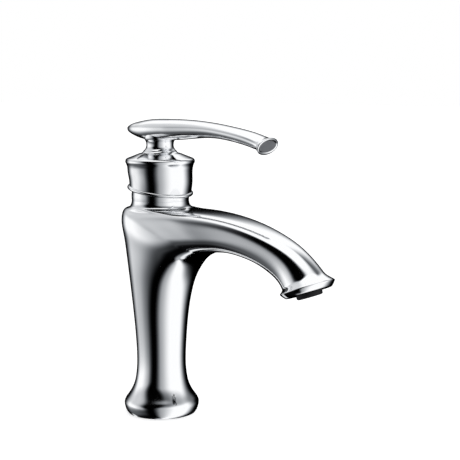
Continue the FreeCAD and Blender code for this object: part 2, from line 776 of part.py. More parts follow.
def make_moving_cartridge():
    """The rotor with its pin, the stem, and the disc and carrier that the stem pushes."""
    x = "-moving_disc_back"
    disc = rod("moving_disc_blank", "moving_disc_radius", "moving_disc_height", x=x, z=MOVING_DISC_FOOT)
    pocket = rod("mixing_pocket", "mixing_pocket_radius", "mixing_pocket_depth", x=x, z=MOVING_DISC_FOOT)
    ball_level = f"({PIVOT} - stem_arm)"
    socket_foot = f"({ball_level} - stem_ball_radius - ball_gap)"
    carrier = rod("carrier_blank", "carrier_radius", "carrier_height", x=x, z=CARRIER_FOOT)
    socket_depth = f"{CARRIER_TOP} - {socket_foot}"
    socket = rod("ball_socket", "stem_ball_radius + ball_gap", socket_depth, z=socket_foot)

    flange = f"{HOUSING_BORE} - running_gap"
    rotor = turned(
        "rotor_blank",
        [
            ("0", ROTOR_FOOT),
            (flange, ROTOR_FOOT),
            (flange, ROTOR_SHOULDER),
            ("rotor_neck_radius", ROTOR_SHOULDER),
            ("rotor_neck_radius", f"{PIVOT} + rotor_rise"),
            ("0", f"{PIVOT} + rotor_rise"),
        ],
    )
    slot_width = "(stem_width + 2 * slot_gap)"
    slot = block(
        "stem_slot",
        "slot_back + slot_front",
        slot_width,
        f"{PIVOT} + rotor_rise - {ROTOR_FOOT}",
        "-slot_back",
        f"-{slot_width} / 2",
        ROTOR_FOOT,
    )
    pin_start = "-pin_length / 2"
    pin_hole = rod(
        "rotor_pin_hole",
        "pin_radius + thread_gap",
        "2 * rotor_neck_radius",
        y="-rotor_neck_radius",
        z=PIVOT,
        turn=ALONG_Y,
    )
    pin = rod("stem_pin", "pin_radius", "pin_length", y=pin_start, z=PIVOT, turn=ALONG_Y)

    width, side = "stem_width", "-stem_width / 2"
    square_length = "stem_square_drop + stem_rise"
    square_foot = f"({PIVOT} - stem_square_drop)"
    square = block("stem_square", width, width, square_length, side, side, square_foot)
    arm = rod("stem_rod", "stem_rod_radius", "stem_arm", z=ball_level)
    ball = shape_object("Sphere", "stem_ball", Radius="stem_ball_radius", base_z=ball_level)
    stem_hole = rod("stem_pin_hole", "pin_radius + running_gap", width, y=side, z=PIVOT, turn=ALONG_Y)
    return [
        cut("moving_ceramic_disc", disc, [pocket]),
        cut("disc_carrier", carrier, [socket]),
        cut("cartridge_rotor", rotor, [slot, pin_hole]),
        pin,
        cut("cartridge_stem", joined("stem_blank", [square, arm, ball]), [stem_hole]),
    ]


def make_hood():
    """The hood with its slanted bead rim, hub and the holes for its screws."""
    bore = HOOD_BORE
    shell = turned(
        "hood_shell",
        [
            (bore, f"{PIVOT} - hood_bottom_drop"),
            (f"{HOOD_RADIUS} - hood_draft", f"{PIVOT} - hood_bottom_drop"),
            (HOOD_RADIUS, f"{PIVOT} + hood_skirt_rise", "-flange_cove"),
            (f"{HOOD_RADIUS} + flange_overhang", f"{PIVOT} + flange_under_rise", "flange_round"),
            (f"{HOOD_RADIUS} + flange_overhang - dome_set_back", f"{PIVOT} + dome_edge_rise"),
            ("dome_top_radius", f"{PIVOT} + dome_top_rise", "-dome_cove"),
            ("crease_radius", HOOD_TOP),
            ("0", HOOD_TOP),
            ("0", f"{PIVOT} + hub_rise"),
            ("hub_radius", f"{PIVOT} + hub_rise"),
            ("hub_radius", f"{PIVOT} + roof_inner_rise"),
            ("roof_inner_radius", f"{PIVOT} + roof_inner_rise"),
            (bore, f"{PIVOT} + roof_side_rise"),
        ],
    )
    half, depth = f"(2 * {HOOD_RADIUS})", HOOD_RADIUS
    rim_level = f"({PIVOT} + rim_plane_rise)"
    below_rim = shape_object(
        "Box",
        "below_rim",
        RIM_LEAN,
        Length=f"2 * {half}",
        Width=f"2 * {half}",
        Height=depth,
        base_x=f"-{half} * cos(rim_slant) - {depth} * sin(rim_slant)",
        base_y=f"-{half}",
        base_z=f"{rim_level} + {half} * sin(rim_slant) - {depth} * cos(rim_slant)",
    )
    bead_ring = f"{HOOD_RADIUS} - bead_sink"
    bead = shape_object(
        "Torus", "rim_bead", RIM_LEAN, Radius1=bead_ring, Radius2="bead_radius", base_z=rim_level
    )
    blank = joined("hood_blank", [cut("hood_skirt", shell, [below_rim]), bead])

    pocket = "(stem_width + stem_gap)"
    screw_level = f"{PIVOT} + set_screw_rise"
    screw_bore, set_bore = "handle_screw_radius + thread_gap", "set_screw_radius + thread_gap"
    tools = [
        rod("hood_bore", bore, "hood_bottom_drop + hub_rise", z=f"{PIVOT} - hood_bottom_drop"),
        block(
            "stem_pocket",
            pocket,
            pocket,
            "hub_pocket_rise - hub_rise",
            f"-{pocket} / 2",
            f"-{pocket} / 2",
            f"{PIVOT} + hub_rise",
        ),
        rod("hood_screw_hole", screw_bore, f"{HOOD_TOP} - {POCKET_TOP}", z=POCKET_TOP),
        rod("set_screw_hole", set_bore, "hub_radius", x="-hub_radius", z=screw_level, turn=ALONG_X),
        rod(
            "plug_hole",
            "plug_radius + thread_gap",
            f"2 * ({HOOD_RADIUS} - {bore})",
            x=f"-{HOOD_RADIUS} - plug_sink",
            z=screw_level,
            turn=ALONG_X,
        ),
    ]
    return cut("handle_hood", blank, tools)


def make_handle_screws():
    """The screw that holds the lever, the set screw on the stem and the plug over it."""
    head = f"{POCKET_TOP} - handle_screw_head_height"
    tip = f"{POCKET_TOP} + handle_screw_length"
    screw = turned(
        "handle_screw_blank",
        [
            ("0", head),
            ("handle_screw_head_radius", head),
            ("handle_screw_head_radius", POCKET_TOP),
            ("handle_screw_radius", POCKET_TOP),
            ("handle_screw_radius", tip),
            ("0", tip),
        ],
    )
    socket = shape_object(
        "Prism", "handle_screw_socket", Circumradius="hex_key_radius", Height="hex_key_depth", base_z=head
    )
    level = f"{PIVOT} + set_screw_rise"
    end = "-(stem_width / 2 + thread_gap + set_screw_length)"
    grub = rod("set_screw_blank", "set_screw_radius", "set_screw_length", x=end, z=level, turn=ALONG_X)
    key = shape_object(
        "Prism",
        "set_screw_socket",
        ALONG_X,
        Circumradius="hex_key_radius",
        Height="hex_key_depth",
        base_x=end,
        base_z=level,
    )
    plug = turned(
        "screw_plug",
        [
            ("0", "0"),
            ("plug_radius", "0"),
            ("plug_radius", "plug_length - plug_chamfer"),
            ("plug_radius - plug_chamfer", "plug_length"),
            ("0", "plug_length"),
        ],
    )
    plug.Placement = Placement(Vector(), BACK_ALONG_X)
    bind(plug, base_x=f"-({HOOD_RADIUS} - plug_sink - plug_length)", base_z=level)
    return [cut("handle_screw", screw, [socket]), cut("set_screw", grub, [key]), plug]


def end_ellipse(name, shrink):
    """Ellipse at the floor of the lever end's recess."""
    return shape_object(
        "Ellipse",
        name,
        LEVER_END_LEAN,
        MajorRadius=f"lever_end_width / 2 - lever_end_rim - {shrink}",
        MinorRadius=f"lever_end_height / 2 - lever_end_rim - {shrink}",
        base_x=CAP_X,
        base_z=CAP_Z,
    )


def extruded(name, outline, length):
    """A solid drawn straight out of a closed outline."""
    thing = document.addObject("Part::Extrusion", name)
    thing.Base = outline
    thing.DirMode = "Normal"
    thing.Solid = True
    return bind(thing, LengthFwd=length)


def make_lever():
    """The lever with its waisted neck, and the flat cap in its end."""
    sections = []
    for place, (share, *_) in enumerate(LEVER_SECTIONS):
        reach = "lever_tail_reach" if share < 0 else "lever_end_reach"
        sections.append(
            shape_object(
                "Ellipse",
                f"lever_section_{place}",
                FACING_X,
                MajorRadius=f"lever_half_width_{place}",
                MinorRadius=f"lever_half_height_{place}",
                base_x=f"lever_share_{place} * {reach}",
                base_z=f"{LEVER_AXIS} + lever_lift_{place}",
            )
        )
    sections.append(
        shape_object(
            "Ellipse",
            "lever_end",
            LEVER_END_LEAN,
            MajorRadius="lever_end_width / 2",
            MinorRadius="lever_end_height / 2",
            base_x="lever_end_reach",
            base_z=f"{LEVER_AXIS} - lever_end_drop",
        )
    )
    arm = document.addObject("Part::Loft", "lever_loft")
    arm.Sections = sections
    arm.Solid = True
    neck = turned(
        "lever_neck",
        [
            ("0", HOOD_TOP),
            ("lever_neck_foot_radius", HOOD_TOP),
            ("lever_neck_radius", f"{HOOD_TOP} + lever_neck_waist_rise"),
            ("lever_neck_top_radius", f"{HOOD_TOP} + lever_neck_top_rise"),
            ("lever_neck_radius", LEVER_AXIS),
            ("0", LEVER_AXIS),
        ],
    )
    recess = extruded("cap_recess", end_ellipse("recess_outline", "0"), "2 * cap_thickness")
    screw_length = f"handle_screw_length - ({HOOD_TOP} - {POCKET_TOP}) + slip_gap"
    hole = rod("lever_screw_hole", "handle_screw_radius + thread_gap", screw_length, z=HOOD_TOP)
    lever = cut("lever_arm", joined("lever_blank", [arm, neck]), [recess, hole])
    cap = extruded("lever_end_cap", end_ellipse("cap_outline", "thread_gap"), "cap_thickness")
    return [lever, cap]


def drilled(body, rows, radius, count):
    """Holes through a turned body, repeated round its axis; rows are circle radius and angle."""
    sketch = body.newObject("Sketcher::SketchObject", f"{body.Name}_holes")
    plane = next(f for f in body.Origin.OriginFeatures if f.Role == "XY_Plane")
    sketch.AttachmentSupport = [(plane, "")]
    sketch.MapMode = "FlatFace"
    for index, (circle, angle) in enumerate(rows):
        x, y = f"{circle} * cos({angle})", f"{circle} * sin({angle})"
        centre = Vector(value(x), value(y), 0)
        sketch.addGeometry(Part.Circle(centre, Vector(0, 0, 1), value(radius)), False)
        rule = Sketcher.Constraint("Radius", index, value(radius))
        sketch.setExpression(f"Constraints[{sketch.addConstraint(rule)}]", linked(radius))
        rule = Sketcher.Constraint("DistanceX", -1, 1, index, 3, centre.x)
        sketch.setExpression(f"Constraints[{sketch.addConstraint(rule)}]", linked(x))
        if angle:
            rule = Sketcher.Constraint("DistanceY", -1, 1, index, 3, centre.y)
            sketch.setExpression(f"Constraints[{sketch.addConstraint(rule)}]", linked(y))
        else:
            sketch.addConstraint(Sketcher.Constraint("PointOnObject", index, 3, -1))
    pocket = body.newObject("PartDesign::Pocket", f"{body.Name}_pocket")
    pocket.Profile = sketch
    pocket.Type = "ThroughAll"
    pocket.Reversed = True
    pattern = body.newObject("PartDesign::PolarPattern", f"{body.Name}_pattern")
    pattern.Originals = [pocket]
    pattern.Axis = (sketch, ["N_Axis"])
    pattern.Angle = 360
    pattern.Occurrences = count
    body.Tip = pattern
    return body


def make_aerator():
    """The aerator, drawn from its lower end and set in the leaning outlet."""
    bore = "(aerator_radius - aerator_wall)"
    housing = turned(
        "aerator_housing",
        [
            ("aerator_lip_radius", "0"),
            ("aerator_radius", "0"),
            ("aerator_radius", "aerator_length"),
            (bore, "aerator_length"),
            (bore, "aerator_lip_height"),
            ("aerator_lip_radius", "aerator_lip_height"),
        ],
    )
    inside = f"{bore} - thread_gap"
    screen_top = "(aerator_lip_height + screen_height)"
    screen = turned("aerator_screen", ring_outline("0", inside, "aerator_lip_height", screen_top))
    pitch = "screen_hole_pitch"
    drilled(screen, [(pitch, 0), (f"2 * {pitch}", 0), (f"sqrt(3) * {pitch}", 30)], "screen_hole_radius", 6)
    core = turned(
        "aerator_core",
        [
            ("0", screen_top),
            (inside, screen_top),
            (inside, f"{screen_top} + core_rim_height"),
            ("core_waist_radius", f"{screen_top} + core_rim_height"),
            ("core_waist_radius", f"{screen_top} + core_height - core_rim_height"),
            (inside, f"{screen_top} + core_height - core_rim_height"),
            (inside, f"{screen_top} + core_height"),
            ("0", f"{screen_top} + core_height"),
        ],
    )
    drilled(core, [("core_hole_circle", 0)], "core_hole_radius", 6)
    washer = turned(
        "aerator_washer",
        ring_outline(
            "washer_bore_radius", "aerator_radius", "aerator_length", "aerator_length + washer_height"
        ),
    )
    pieces = [housing, screen, core, washer]
    for piece in pieces:
        piece.Placement = Placement(Vector(), OUTLET_LEAN)
        bind(piece, base_x=AERATOR_X, base_z=AERATOR_Z)
    return pieces


def write_pieces(pieces):
    """Checks every object and writes each piece to its own file."""
    document.recompute()
    for thing in document.Objects:
        if "Invalid" in thing.State or "Error" in thing.State:
            raise RuntimeError(f"{thing.Label} failed: {thing.State}")
    for piece in pieces:
        if piece.Shape.isNull() or not piece.Shape.isValid() or not piece.Shape.Solids:
            raise RuntimeError(f"{piece.Label} has no valid solid")
    os.makedirs("parts", exist_ok=True)
    for piece in pieces:
        piece.Shape.exportStep(f"parts/{piece.Label}.step")
        print(f"{piece.Label}: {len(piece.Shape.Solids)} solids, {piece.Shape.Volume:.1f} mm3")


write_pieces(
    [make_body(), make_stud_lug()]
    + make_neck_pieces()
    + make_fixed_cartridge()
    + make_moving_cartridge()
    + [make_hood()]
    + make_handle_screws()
    + make_lever()
    + make_aerator()
)
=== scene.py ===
"""A chrome bathroom mixer faucet: its cast body, handle and finishes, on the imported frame.

Sizes are in millimetres, in the part's own frame: +X along the spout, +Z up from the basin's deck.
"""
from __future__ import annotations

import json
import logging
import math
from dataclasses import dataclass, replace
from enum import Enum
from typing import Any, Iterable, Sequence

import bmesh
import bpy
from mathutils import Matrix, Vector

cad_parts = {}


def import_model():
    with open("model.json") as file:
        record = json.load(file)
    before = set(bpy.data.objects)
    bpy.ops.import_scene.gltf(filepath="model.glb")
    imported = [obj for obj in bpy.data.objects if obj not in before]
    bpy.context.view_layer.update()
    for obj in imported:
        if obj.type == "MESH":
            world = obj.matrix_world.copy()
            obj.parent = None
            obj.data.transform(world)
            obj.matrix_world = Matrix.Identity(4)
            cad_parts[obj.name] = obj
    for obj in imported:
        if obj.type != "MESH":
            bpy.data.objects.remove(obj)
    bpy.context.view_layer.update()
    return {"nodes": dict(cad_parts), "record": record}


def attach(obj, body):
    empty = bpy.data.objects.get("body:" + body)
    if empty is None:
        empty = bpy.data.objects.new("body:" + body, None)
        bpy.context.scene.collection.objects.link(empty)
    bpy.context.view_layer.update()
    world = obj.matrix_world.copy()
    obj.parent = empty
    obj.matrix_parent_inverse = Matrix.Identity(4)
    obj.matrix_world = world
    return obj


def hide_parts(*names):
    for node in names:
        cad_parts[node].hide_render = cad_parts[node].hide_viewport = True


MM = 0.001
ELLIPSE = 2.0  # the power of a plain ellipse
OUTLET_FACE = (120.2, 93.7)  # middle of the outlet, along the spout and up
OUTLET_TILT = 20.5  # how far the outlet leans forward, in degrees
HOLE_POINTS = 48  # points round a drilled hole
SHARP_ANGLE = 28.0  # edges past this angle stay sharp
WELD = 0.002 * MM  # points nearer than this become one
SAME = 1e-6  # a turn or change of width below this is left out
SAME_PLACE = 1e-5  # points of a loop this close along it are a pair
PLACE_DIGITS = 6  # digits that tell the places along a loop apart
POLE = 0.9999  # from here on, a place along a loop is one of its ends
MIX_FIRST, MIX_SECOND, MIX_RESULT = 6, 7, 2  # a Mix node's colour sockets
Point = tuple[float, float]
Profile = tuple[Point, ...]
Triple = tuple[float, float, float]
log = logging.getLogger("faucet")


# Loops and skins


class Hold(Enum):
    """How the smoothed skin treats a loop."""

    SMOOTH = "the skin passes through the loop"
    TIGHT = "the loop pulls the skin into a small round"
    CRISP = "the skin has a sharp edge along the loop"


class Join(Enum):
    """What a second solid does to a piece."""

    ADD = "UNION"
    CUT = "DIFFERENCE"


def swept(start: Point, end: Point, radius: float, steps: int) -> list[Point]:
    """Points along an arc of a profile.

    Args:
        start: radius and height where the arc starts.
        end: radius and height where it ends.
        radius: its radius, positive where it bulges to the right of its way.
        steps: how many points follow the start.

    Returns:
        The points after the start, the end among them.
    """
    way = Vector(end) - Vector(start)
    lift = math.copysign(math.sqrt(radius**2 - (way.length / 2) ** 2), radius)
    centre = (Vector(start) + Vector(end)) / 2 + Vector((-way.y, way.x)).normalized() * lift
    first = Vector(start) - centre
    sweep = math.copysign(2 * math.asin(way.length / 2 / abs(radius)), radius)
    points = []
    for step in range(1, steps + 1):
        angle = sweep * step / steps
        x = first.x * math.cos(angle) - first.y * math.sin(angle)
        y = first.x * math.sin(angle) + first.y * math.cos(angle)
        points.append((centre.x + x, centre.y + y))
    return points


def bezier(a: Vector, b: Vector, c: Vector, d: Vector, share: float) -> Vector:
    """The point at a share of a cubic curve."""
    rest = 1 - share
    return a * rest**3 + b * (3 * rest**2 * share) + c * (3 * rest * share**2) + d * share**3


def leaning(tilt: float) -> tuple[Vector, Vector]:
    """Directions across and down an outlet that leans forward by a tilt in degrees."""
    angle = math.radians(tilt)
    return Vector((math.cos(angle), math.sin(angle))), Vector((math.sin(angle), -math.cos(angle)))


@dataclass(frozen=True)
class Loop:
    """A closed loop across the middle plane, from a near point to a far one.

    The powers say how square its near and far sides are: 2 is an ellipse. The bias says how
    far its widest line lies from the middle towards the far point, as a share of the depth.
    """

    near: Point
    far: Point
    half_width: float
    near_power: float = ELLIPSE
    far_power: float = ELLIPSE
    hold: Hold = Hold.SMOOTH
    bias: float = 0.0

    @staticmethod
    def round(
        radius: float, height: float, hold: Hold, tilt: float = 0.0, rise: float = 0.0
    ) -> Loop:
        """A circle about the column's axis, or about that axis tilted forward.

        Args:
            radius: its radius.
            height: its height, or the height of the tilted plane where it crosses the axis.
            hold: how the skin treats it.
            tilt: how far its plane leans down towards the front, in degrees.
            rise: how far it stands above the tilted plane.

        Returns:
            The loop.
        """
        sine, cosine = math.sin(math.radians(tilt)), math.cos(math.radians(tilt))
        middle = Vector((rise * sine, height + rise * cosine))
        arm = Vector((cosine, -sine)) * radius
        return Loop(tuple(middle + arm), tuple(middle - arm), radius, hold=hold)

    @staticmethod
    def leaned(centre: Vector, across: Vector, radius: float, hold: Hold) -> Loop:
        """A circle about a centre, in the plane of a direction across it."""
        arm = across * radius
        return Loop(tuple(centre - arm), tuple(centre + arm), radius, hold=hold)

    @property
    def middle(self) -> Vector:
        """The centre, in space."""
        return Vector(((self.near[0] + self.far[0]) / 2, 0, (self.near[1] + self.far[1]) / 2))

    @property
    def depth(self) -> float:
        """Half of the way from the near point to the far one."""
        return (Vector(self.near) - Vector(self.far)).length / 2

    @property
    def turn(self) -> float:
        """Turn about +Y that brings a flat loop into this one's plane, in radians."""
        return math.atan2(self.far[1] - self.near[1], self.near[0] - self.far[0])

    def spread(self, along: float) -> float:
        """How much wider than an ellipse the loop is at a place along it.

        Args:
            along: the place, from -1 at the far point to 1 at the near one.

        Returns:
            The ratio of the two widths there.
        """
        if abs(along) > POLE:
            return 1.0
        past = along + self.bias
        power = self.near_power if past > 0 else self.far_power
        share = abs(past) / (1 + math.copysign(self.bias, past))
        return (1 - share**power) ** (1 / power) / math.sqrt(1 - along**2)


def turned(profile: Iterable[Point], hold: Hold) -> list[Loop]:
    """Circles about the column's axis through the points of a profile, all held alike."""
    return [Loop.round(radius, height, hold) for radius, height in profile]


def steered(loops: Sequence[Loop], spokes: int) -> list[Loop]:
    """Control loops whose smoothed skin passes through the wanted ones.

    Args:
        loops: the wanted loops, in order.
        spokes: how many points each loop has.

    Returns:
        As many control loops, a little fuller, because smoothing draws a skin in.
    """
    # A point of the skin is four sixths of its own control point and a sixth of each neighbour.
    # Between two held loops that gives one equation for each loop, solved from the first to the
    # last and back.
    rows = [[*loop.near, *loop.far, loop.half_width] for loop in loops]
    fixed = [i for i, loop in enumerate(loops) if loop.hold is not Hold.SMOOTH]
    wanted = [row[:] for row in rows]
    for first, last in zip(fixed, fixed[1:]):
        inner = range(first + 1, last)
        for column in range(len(rows[0])):
            pivots, sums = {}, {}
            for i in inner:
                pull = 1 / pivots[i - 1] if i - 1 in pivots else 0.0
                known = 6 * wanted[i][column]
                known -= wanted[first][column] if i == first + 1 else 0.0
                known -= wanted[last][column] if i == last - 1 else 0.0
                pivots[i] = 4 - pull
                sums[i] = known - pull * sums.get(i - 1, 0.0)
            for i in reversed(inner):
                after = rows[i + 1][column] if i + 1 < last else 0.0
                rows[i][column] = (sums[i] - after) / pivots[i]
    # Round a loop the same weights draw a circle in, so it starts out this much larger.
    fuller = 3 / (2 + math.cos(2 * math.pi / spokes))
    result = []
    for loop, (near_x, near_z, far_x, far_z, width) in zip(loops, rows):
        near, far = Vector((near_x, near_z)), Vector((far_x, far_z))
        middle, arm = (near + far) / 2, (near - far) / 2 * fuller
        ends = {"near": tuple(middle + arm), "far": tuple(middle - arm)}
        result.append(replace(loop, half_width=width * fuller, **ends))
    return result


class Shaper:
    """A mesh that grows in edit mode, one loop after another."""

    def __init__(self, name: str, spokes: int) -> None:
        """Adds the circle that every loop starts from.

        Args:
            name: name of the new piece.
            spokes: how many points each loop has.
        """
        bpy.ops.object.select_all(action="DESELECT")
        bpy.ops.mesh.primitive_circle_add(vertices=spokes, radius=1.0, location=(0, 0, 0))
        self.piece = bpy.context.object
        self.piece.name = self.piece.data.name = name
        bpy.ops.object.mode_set(mode="EDIT")
        bpy.ops.mesh.select_all(action="SELECT")
        self._begin(spokes)

    def _begin(self, spokes: int) -> None:
        """Takes the selected unit circle as the loop in hand.

        Args:
            spokes: how many points it has.
        """
        self.spokes = spokes
        self.places = [math.cos(math.pi / 2 + 2 * math.pi * k / spokes) for k in range(spokes)]
        self.spreads = [1.0] * spokes
        self.loop = self._selected()
        unit = 1 / MM
        self.at = Loop((unit, 0.0), (-unit, 0.0), unit)

    def start_again(self, spokes: int) -> None:
        """Adds a second circle to the same mesh and takes it in hand.

        Args:
            spokes: how many points it has.
        """
        bpy.ops.mesh.select_all(action="DESELECT")
        bpy.ops.mesh.primitive_circle_add(vertices=spokes, radius=1.0, location=(0, 0, 0))
        self._begin(spokes)

    def _selected(self) -> list[int]:
        """Finds the selected points in the mesh.

        Returns:
            Their numbers, in the mesh's own order.
        """
        mesh = bmesh.from_edit_mesh(self.piece.data)
        mesh.verts.index_update()
        return [v.index for v in mesh.verts if v.select]

    def pick(self, points: Iterable[int]) -> None:
        """Selects these points and nothing else.

        Args:
            points: their numbers in the mesh.
        """
        bpy.ops.mesh.select_all(action="DESELECT")
        mesh = bmesh.from_edit_mesh(self.piece.data)
        mesh.verts.ensure_lookup_table()
        for point in points:
            mesh.verts[point].select = True
        mesh.select_flush_mode()
        bmesh.update_edit_mesh(self.piece.data)

    def _reshape(self, target: Loop) -> None:
        """Moves the selected loop in hand to a new place, size and lean.

        Args:
            target: the control loop that it becomes.
        """
        old, new = self.at.middle * MM, target.middle * MM
        if abs(self.at.turn) > SAME:
            bpy.ops.transform.rotate(value=self.at.turn, orient_axis="Y", center_override=old)
        bpy.ops.transform.translate(value=new - old)
        sizes = (target.depth / self.at.depth, target.half_width / self.at.half_width, 1)
        bpy.ops.transform.resize(value=sizes, center_override=new)
        wanted = [target.spread(place) for place in self.places]
        ratios = [new_spread / old_spread for new_spread, old_spread in zip(wanted, self.spreads)]
        changed = [k for k, ratio in enumerate(ratios) if abs(ratio - 1) > SAME]
        for place in sorted({round(self.places[k], PLACE_DIGITS) for k in changed}):
            pair = [k for k in changed if abs(self.places[k] - place) < SAME_PLACE]
            self.pick(self.loop[k] for k in pair)
            bpy.ops.transform.resize(value=(1, ratios[pair[0]], 1), center_override=new)
        self.spreads = wanted
        if changed:
            self.pick(self.loop)
        if abs(target.turn) > SAME:
            bpy.ops.transform.rotate(value=-target.turn, orient_axis="Y", center_override=new)
        if target.hold is Hold.CRISP:
            bpy.ops.transform.edge_crease(value=1.0)
        self.at = target

    def grow(self, loops: Sequence[Loop]) -> list[list[int]]:
        """Shapes the loop in hand as the first loop, then extrudes it through the rest.

        Args:
            loops: the loops that the smoothed skin goes through.

        Returns:
            The points of each loop.
        """
        made = []
        for index, loop in enumerate(steered(loops, self.spokes)):
            if index:
                bpy.ops.mesh.extrude_region_move()
                self.loop = self._selected()
                bpy.ops.transform.edge_crease(value=-1.0)
            self._reshape(loop)
            made.append(self.loop)
        return made

    def close(self, points: Sequence[int]) -> None:
        """Fills a loop with one face."""
        self.pick(points)
        bpy.ops.mesh.edge_face_add()

    def grow_solid(self, loops: Sequence[Loop]) -> list[list[int]]:
        """Grows through the loops and closes the first and the last.

        Args:
            loops: the loops that the smoothed skin goes through.

        Returns:
            The points of each loop.
        """
        made = self.grow(loops)
        self.close(made[0])
        self.close(made[-1])
        return made

    def open(self, rows: Sequence[Sequence[int]], columns: Sequence[int]) -> None:
        """Removes the faces between some loops, across some of their spokes.

        Args:
            rows: the points of neighbouring loops.
            columns: which points along each loop bound the hole.
        """
        inside = {row[k] for row in rows for k in columns}
        bpy.ops.mesh.select_all(action="DESELECT")
        bpy.ops.mesh.select_mode(type="FACE")
        mesh = bmesh.from_edit_mesh(self.piece.data)
        for face in mesh.faces:
            face.select = all(v.index in inside for v in face.verts)
        bmesh.update_edit_mesh(self.piece.data)
        bpy.ops.mesh.delete(type="FACE")
        bpy.ops.mesh.select_mode(type="VERT")

    def bridge(self) -> None:
        """Joins the two open edges of the mesh with a strip of faces."""
        bpy.ops.mesh.select_all(action="DESELECT")
        bpy.ops.mesh.select_mode(type="EDGE")
        mesh = bmesh.from_edit_mesh(self.piece.data)
        for edge in mesh.edges:
            edge.select = edge.is_boundary
        bmesh.update_edit_mesh(self.piece.data)
        bpy.ops.mesh.bridge_edge_loops()
        bpy.ops.mesh.select_mode(type="VERT")

    def finish(self, levels: int) -> bpy.types.Object:
        """Turns the faces outwards, smooths the skin and leaves edit mode.

        Args:
            levels: how often the skin is subdivided.

        Returns:
            The finished piece.
        """
        bpy.ops.mesh.select_all(action="SELECT")
        bpy.ops.mesh.normals_make_consistent(inside=False)
        bpy.ops.object.mode_set(mode="OBJECT")
        skin = self.piece.modifiers.new("skin", "SUBSURF")
        skin.levels = skin.render_levels = levels
        bpy.ops.object.modifier_apply(modifier=skin.name)
        return self.piece


def combine(piece: bpy.types.Object, tool: bpy.types.Object, join: Join) -> None:
    """Adds a second solid to a piece or cuts it away, and welds the points that meet.

    Args:
        piece: the piece that is changed.
        tool: the second solid, which is used up.
        join: whether it is added or cut away.
    """
    bpy.context.view_layer.objects.active = piece
    boolean = piece.modifiers.new("boolean", "BOOLEAN")
    boolean.object = tool
    boolean.operation = join.value
    boolean.solver = "EXACT"
    bpy.ops.object.modifier_apply(modifier=boolean.name)
    bpy.data.objects.remove(tool)
    bpy.ops.object.select_all(action="DESELECT")
    piece.select_set(True)
    bpy.ops.object.mode_set(mode="EDIT")
    bpy.ops.mesh.select_all(action="SELECT")
    bpy.ops.mesh.remove_doubles(threshold=WELD)
    bpy.ops.mesh.dissolve_degenerate(threshold=WELD)
    bpy.ops.object.mode_set(mode="OBJECT")


def drill(piece: bpy.types.Object, start: Vector, end: Vector, radius: float) -> None:
    """Cuts a round hole into a piece.

    Args:
        piece: the piece that gets the hole.
        start: centre of one end, in millimetres.
        end: centre of the other end.
        radius: radius of the hole.
    """
    way = end - start
    bpy.ops.object.select_all(action="DESELECT")
    bpy.ops.mesh.primitive_cylinder_add(
        vertices=HOLE_POINTS,
        radius=radius * MM,
        depth=way.length * MM,
        location=(start + end) / 2 * MM,
        rotation=way.to_track_quat("Z", "Y").to_euler(),
    )
    combine(piece, bpy.context.object, Join.CUT)


def shade(piece: bpy.types.Object) -> None:
    """Smooth shading that keeps the sharp edges.

    Args:
        piece: the piece that is shaded.
    """
    bpy.ops.object.select_all(action="DESELECT")
    piece.select_set(True)
    bpy.context.view_layer.objects.active = piece
    bpy.ops.object.shade_smooth_by_angle(angle=math.radians(SHARP_ANGLE))


# Shader expressions


class Wire:
    """A shader socket that can stand in a Python expression."""

    def __init__(self, sheet: Sheet, socket: bpy.types.NodeSocket) -> None:
        """Wraps a socket of a sheet's nodes."""
        self.sheet = sheet
        self.socket = socket

    def _math(self, operation: str, *values: Wire | float) -> Wire:
        """A Math node on these values."""
        return self.sheet.node("ShaderNodeMath", {"operation": operation}, dict(enumerate(values)))

    def __add__(self, other: Wire | float) -> Wire:
        """Sum."""
        return self._math("ADD", self, other)

    __radd__ = __add__

    def __sub__(self, other: Wire | float) -> Wire:
        """Difference."""
        return self._math("SUBTRACT", self, other)

    def __rsub__(self, other: float) -> Wire:
        """Difference from a number."""
        return self._math("SUBTRACT", other, self)

    def __mul__(self, other: Wire | float) -> Wire:
        """Product."""
        return self._math("MULTIPLY", self, other)

    __rmul__ = __mul__

    def __pow__(self, power: float) -> Wire:
        """This value, to a power."""
        return self._math("POWER", self, power)

    def bearing(self, ahead: Wire) -> Wire:
        """Angle of this value, to the right, against the value ahead, in radians."""
        return self._math("ARCTAN2", self, ahead)


@dataclass(frozen=True)
class Step:
    """A soft step: the values where it starts and is done, and the results before and after."""

    low: float
    high: float
    before: float = 0.0
    after: float = 1.0


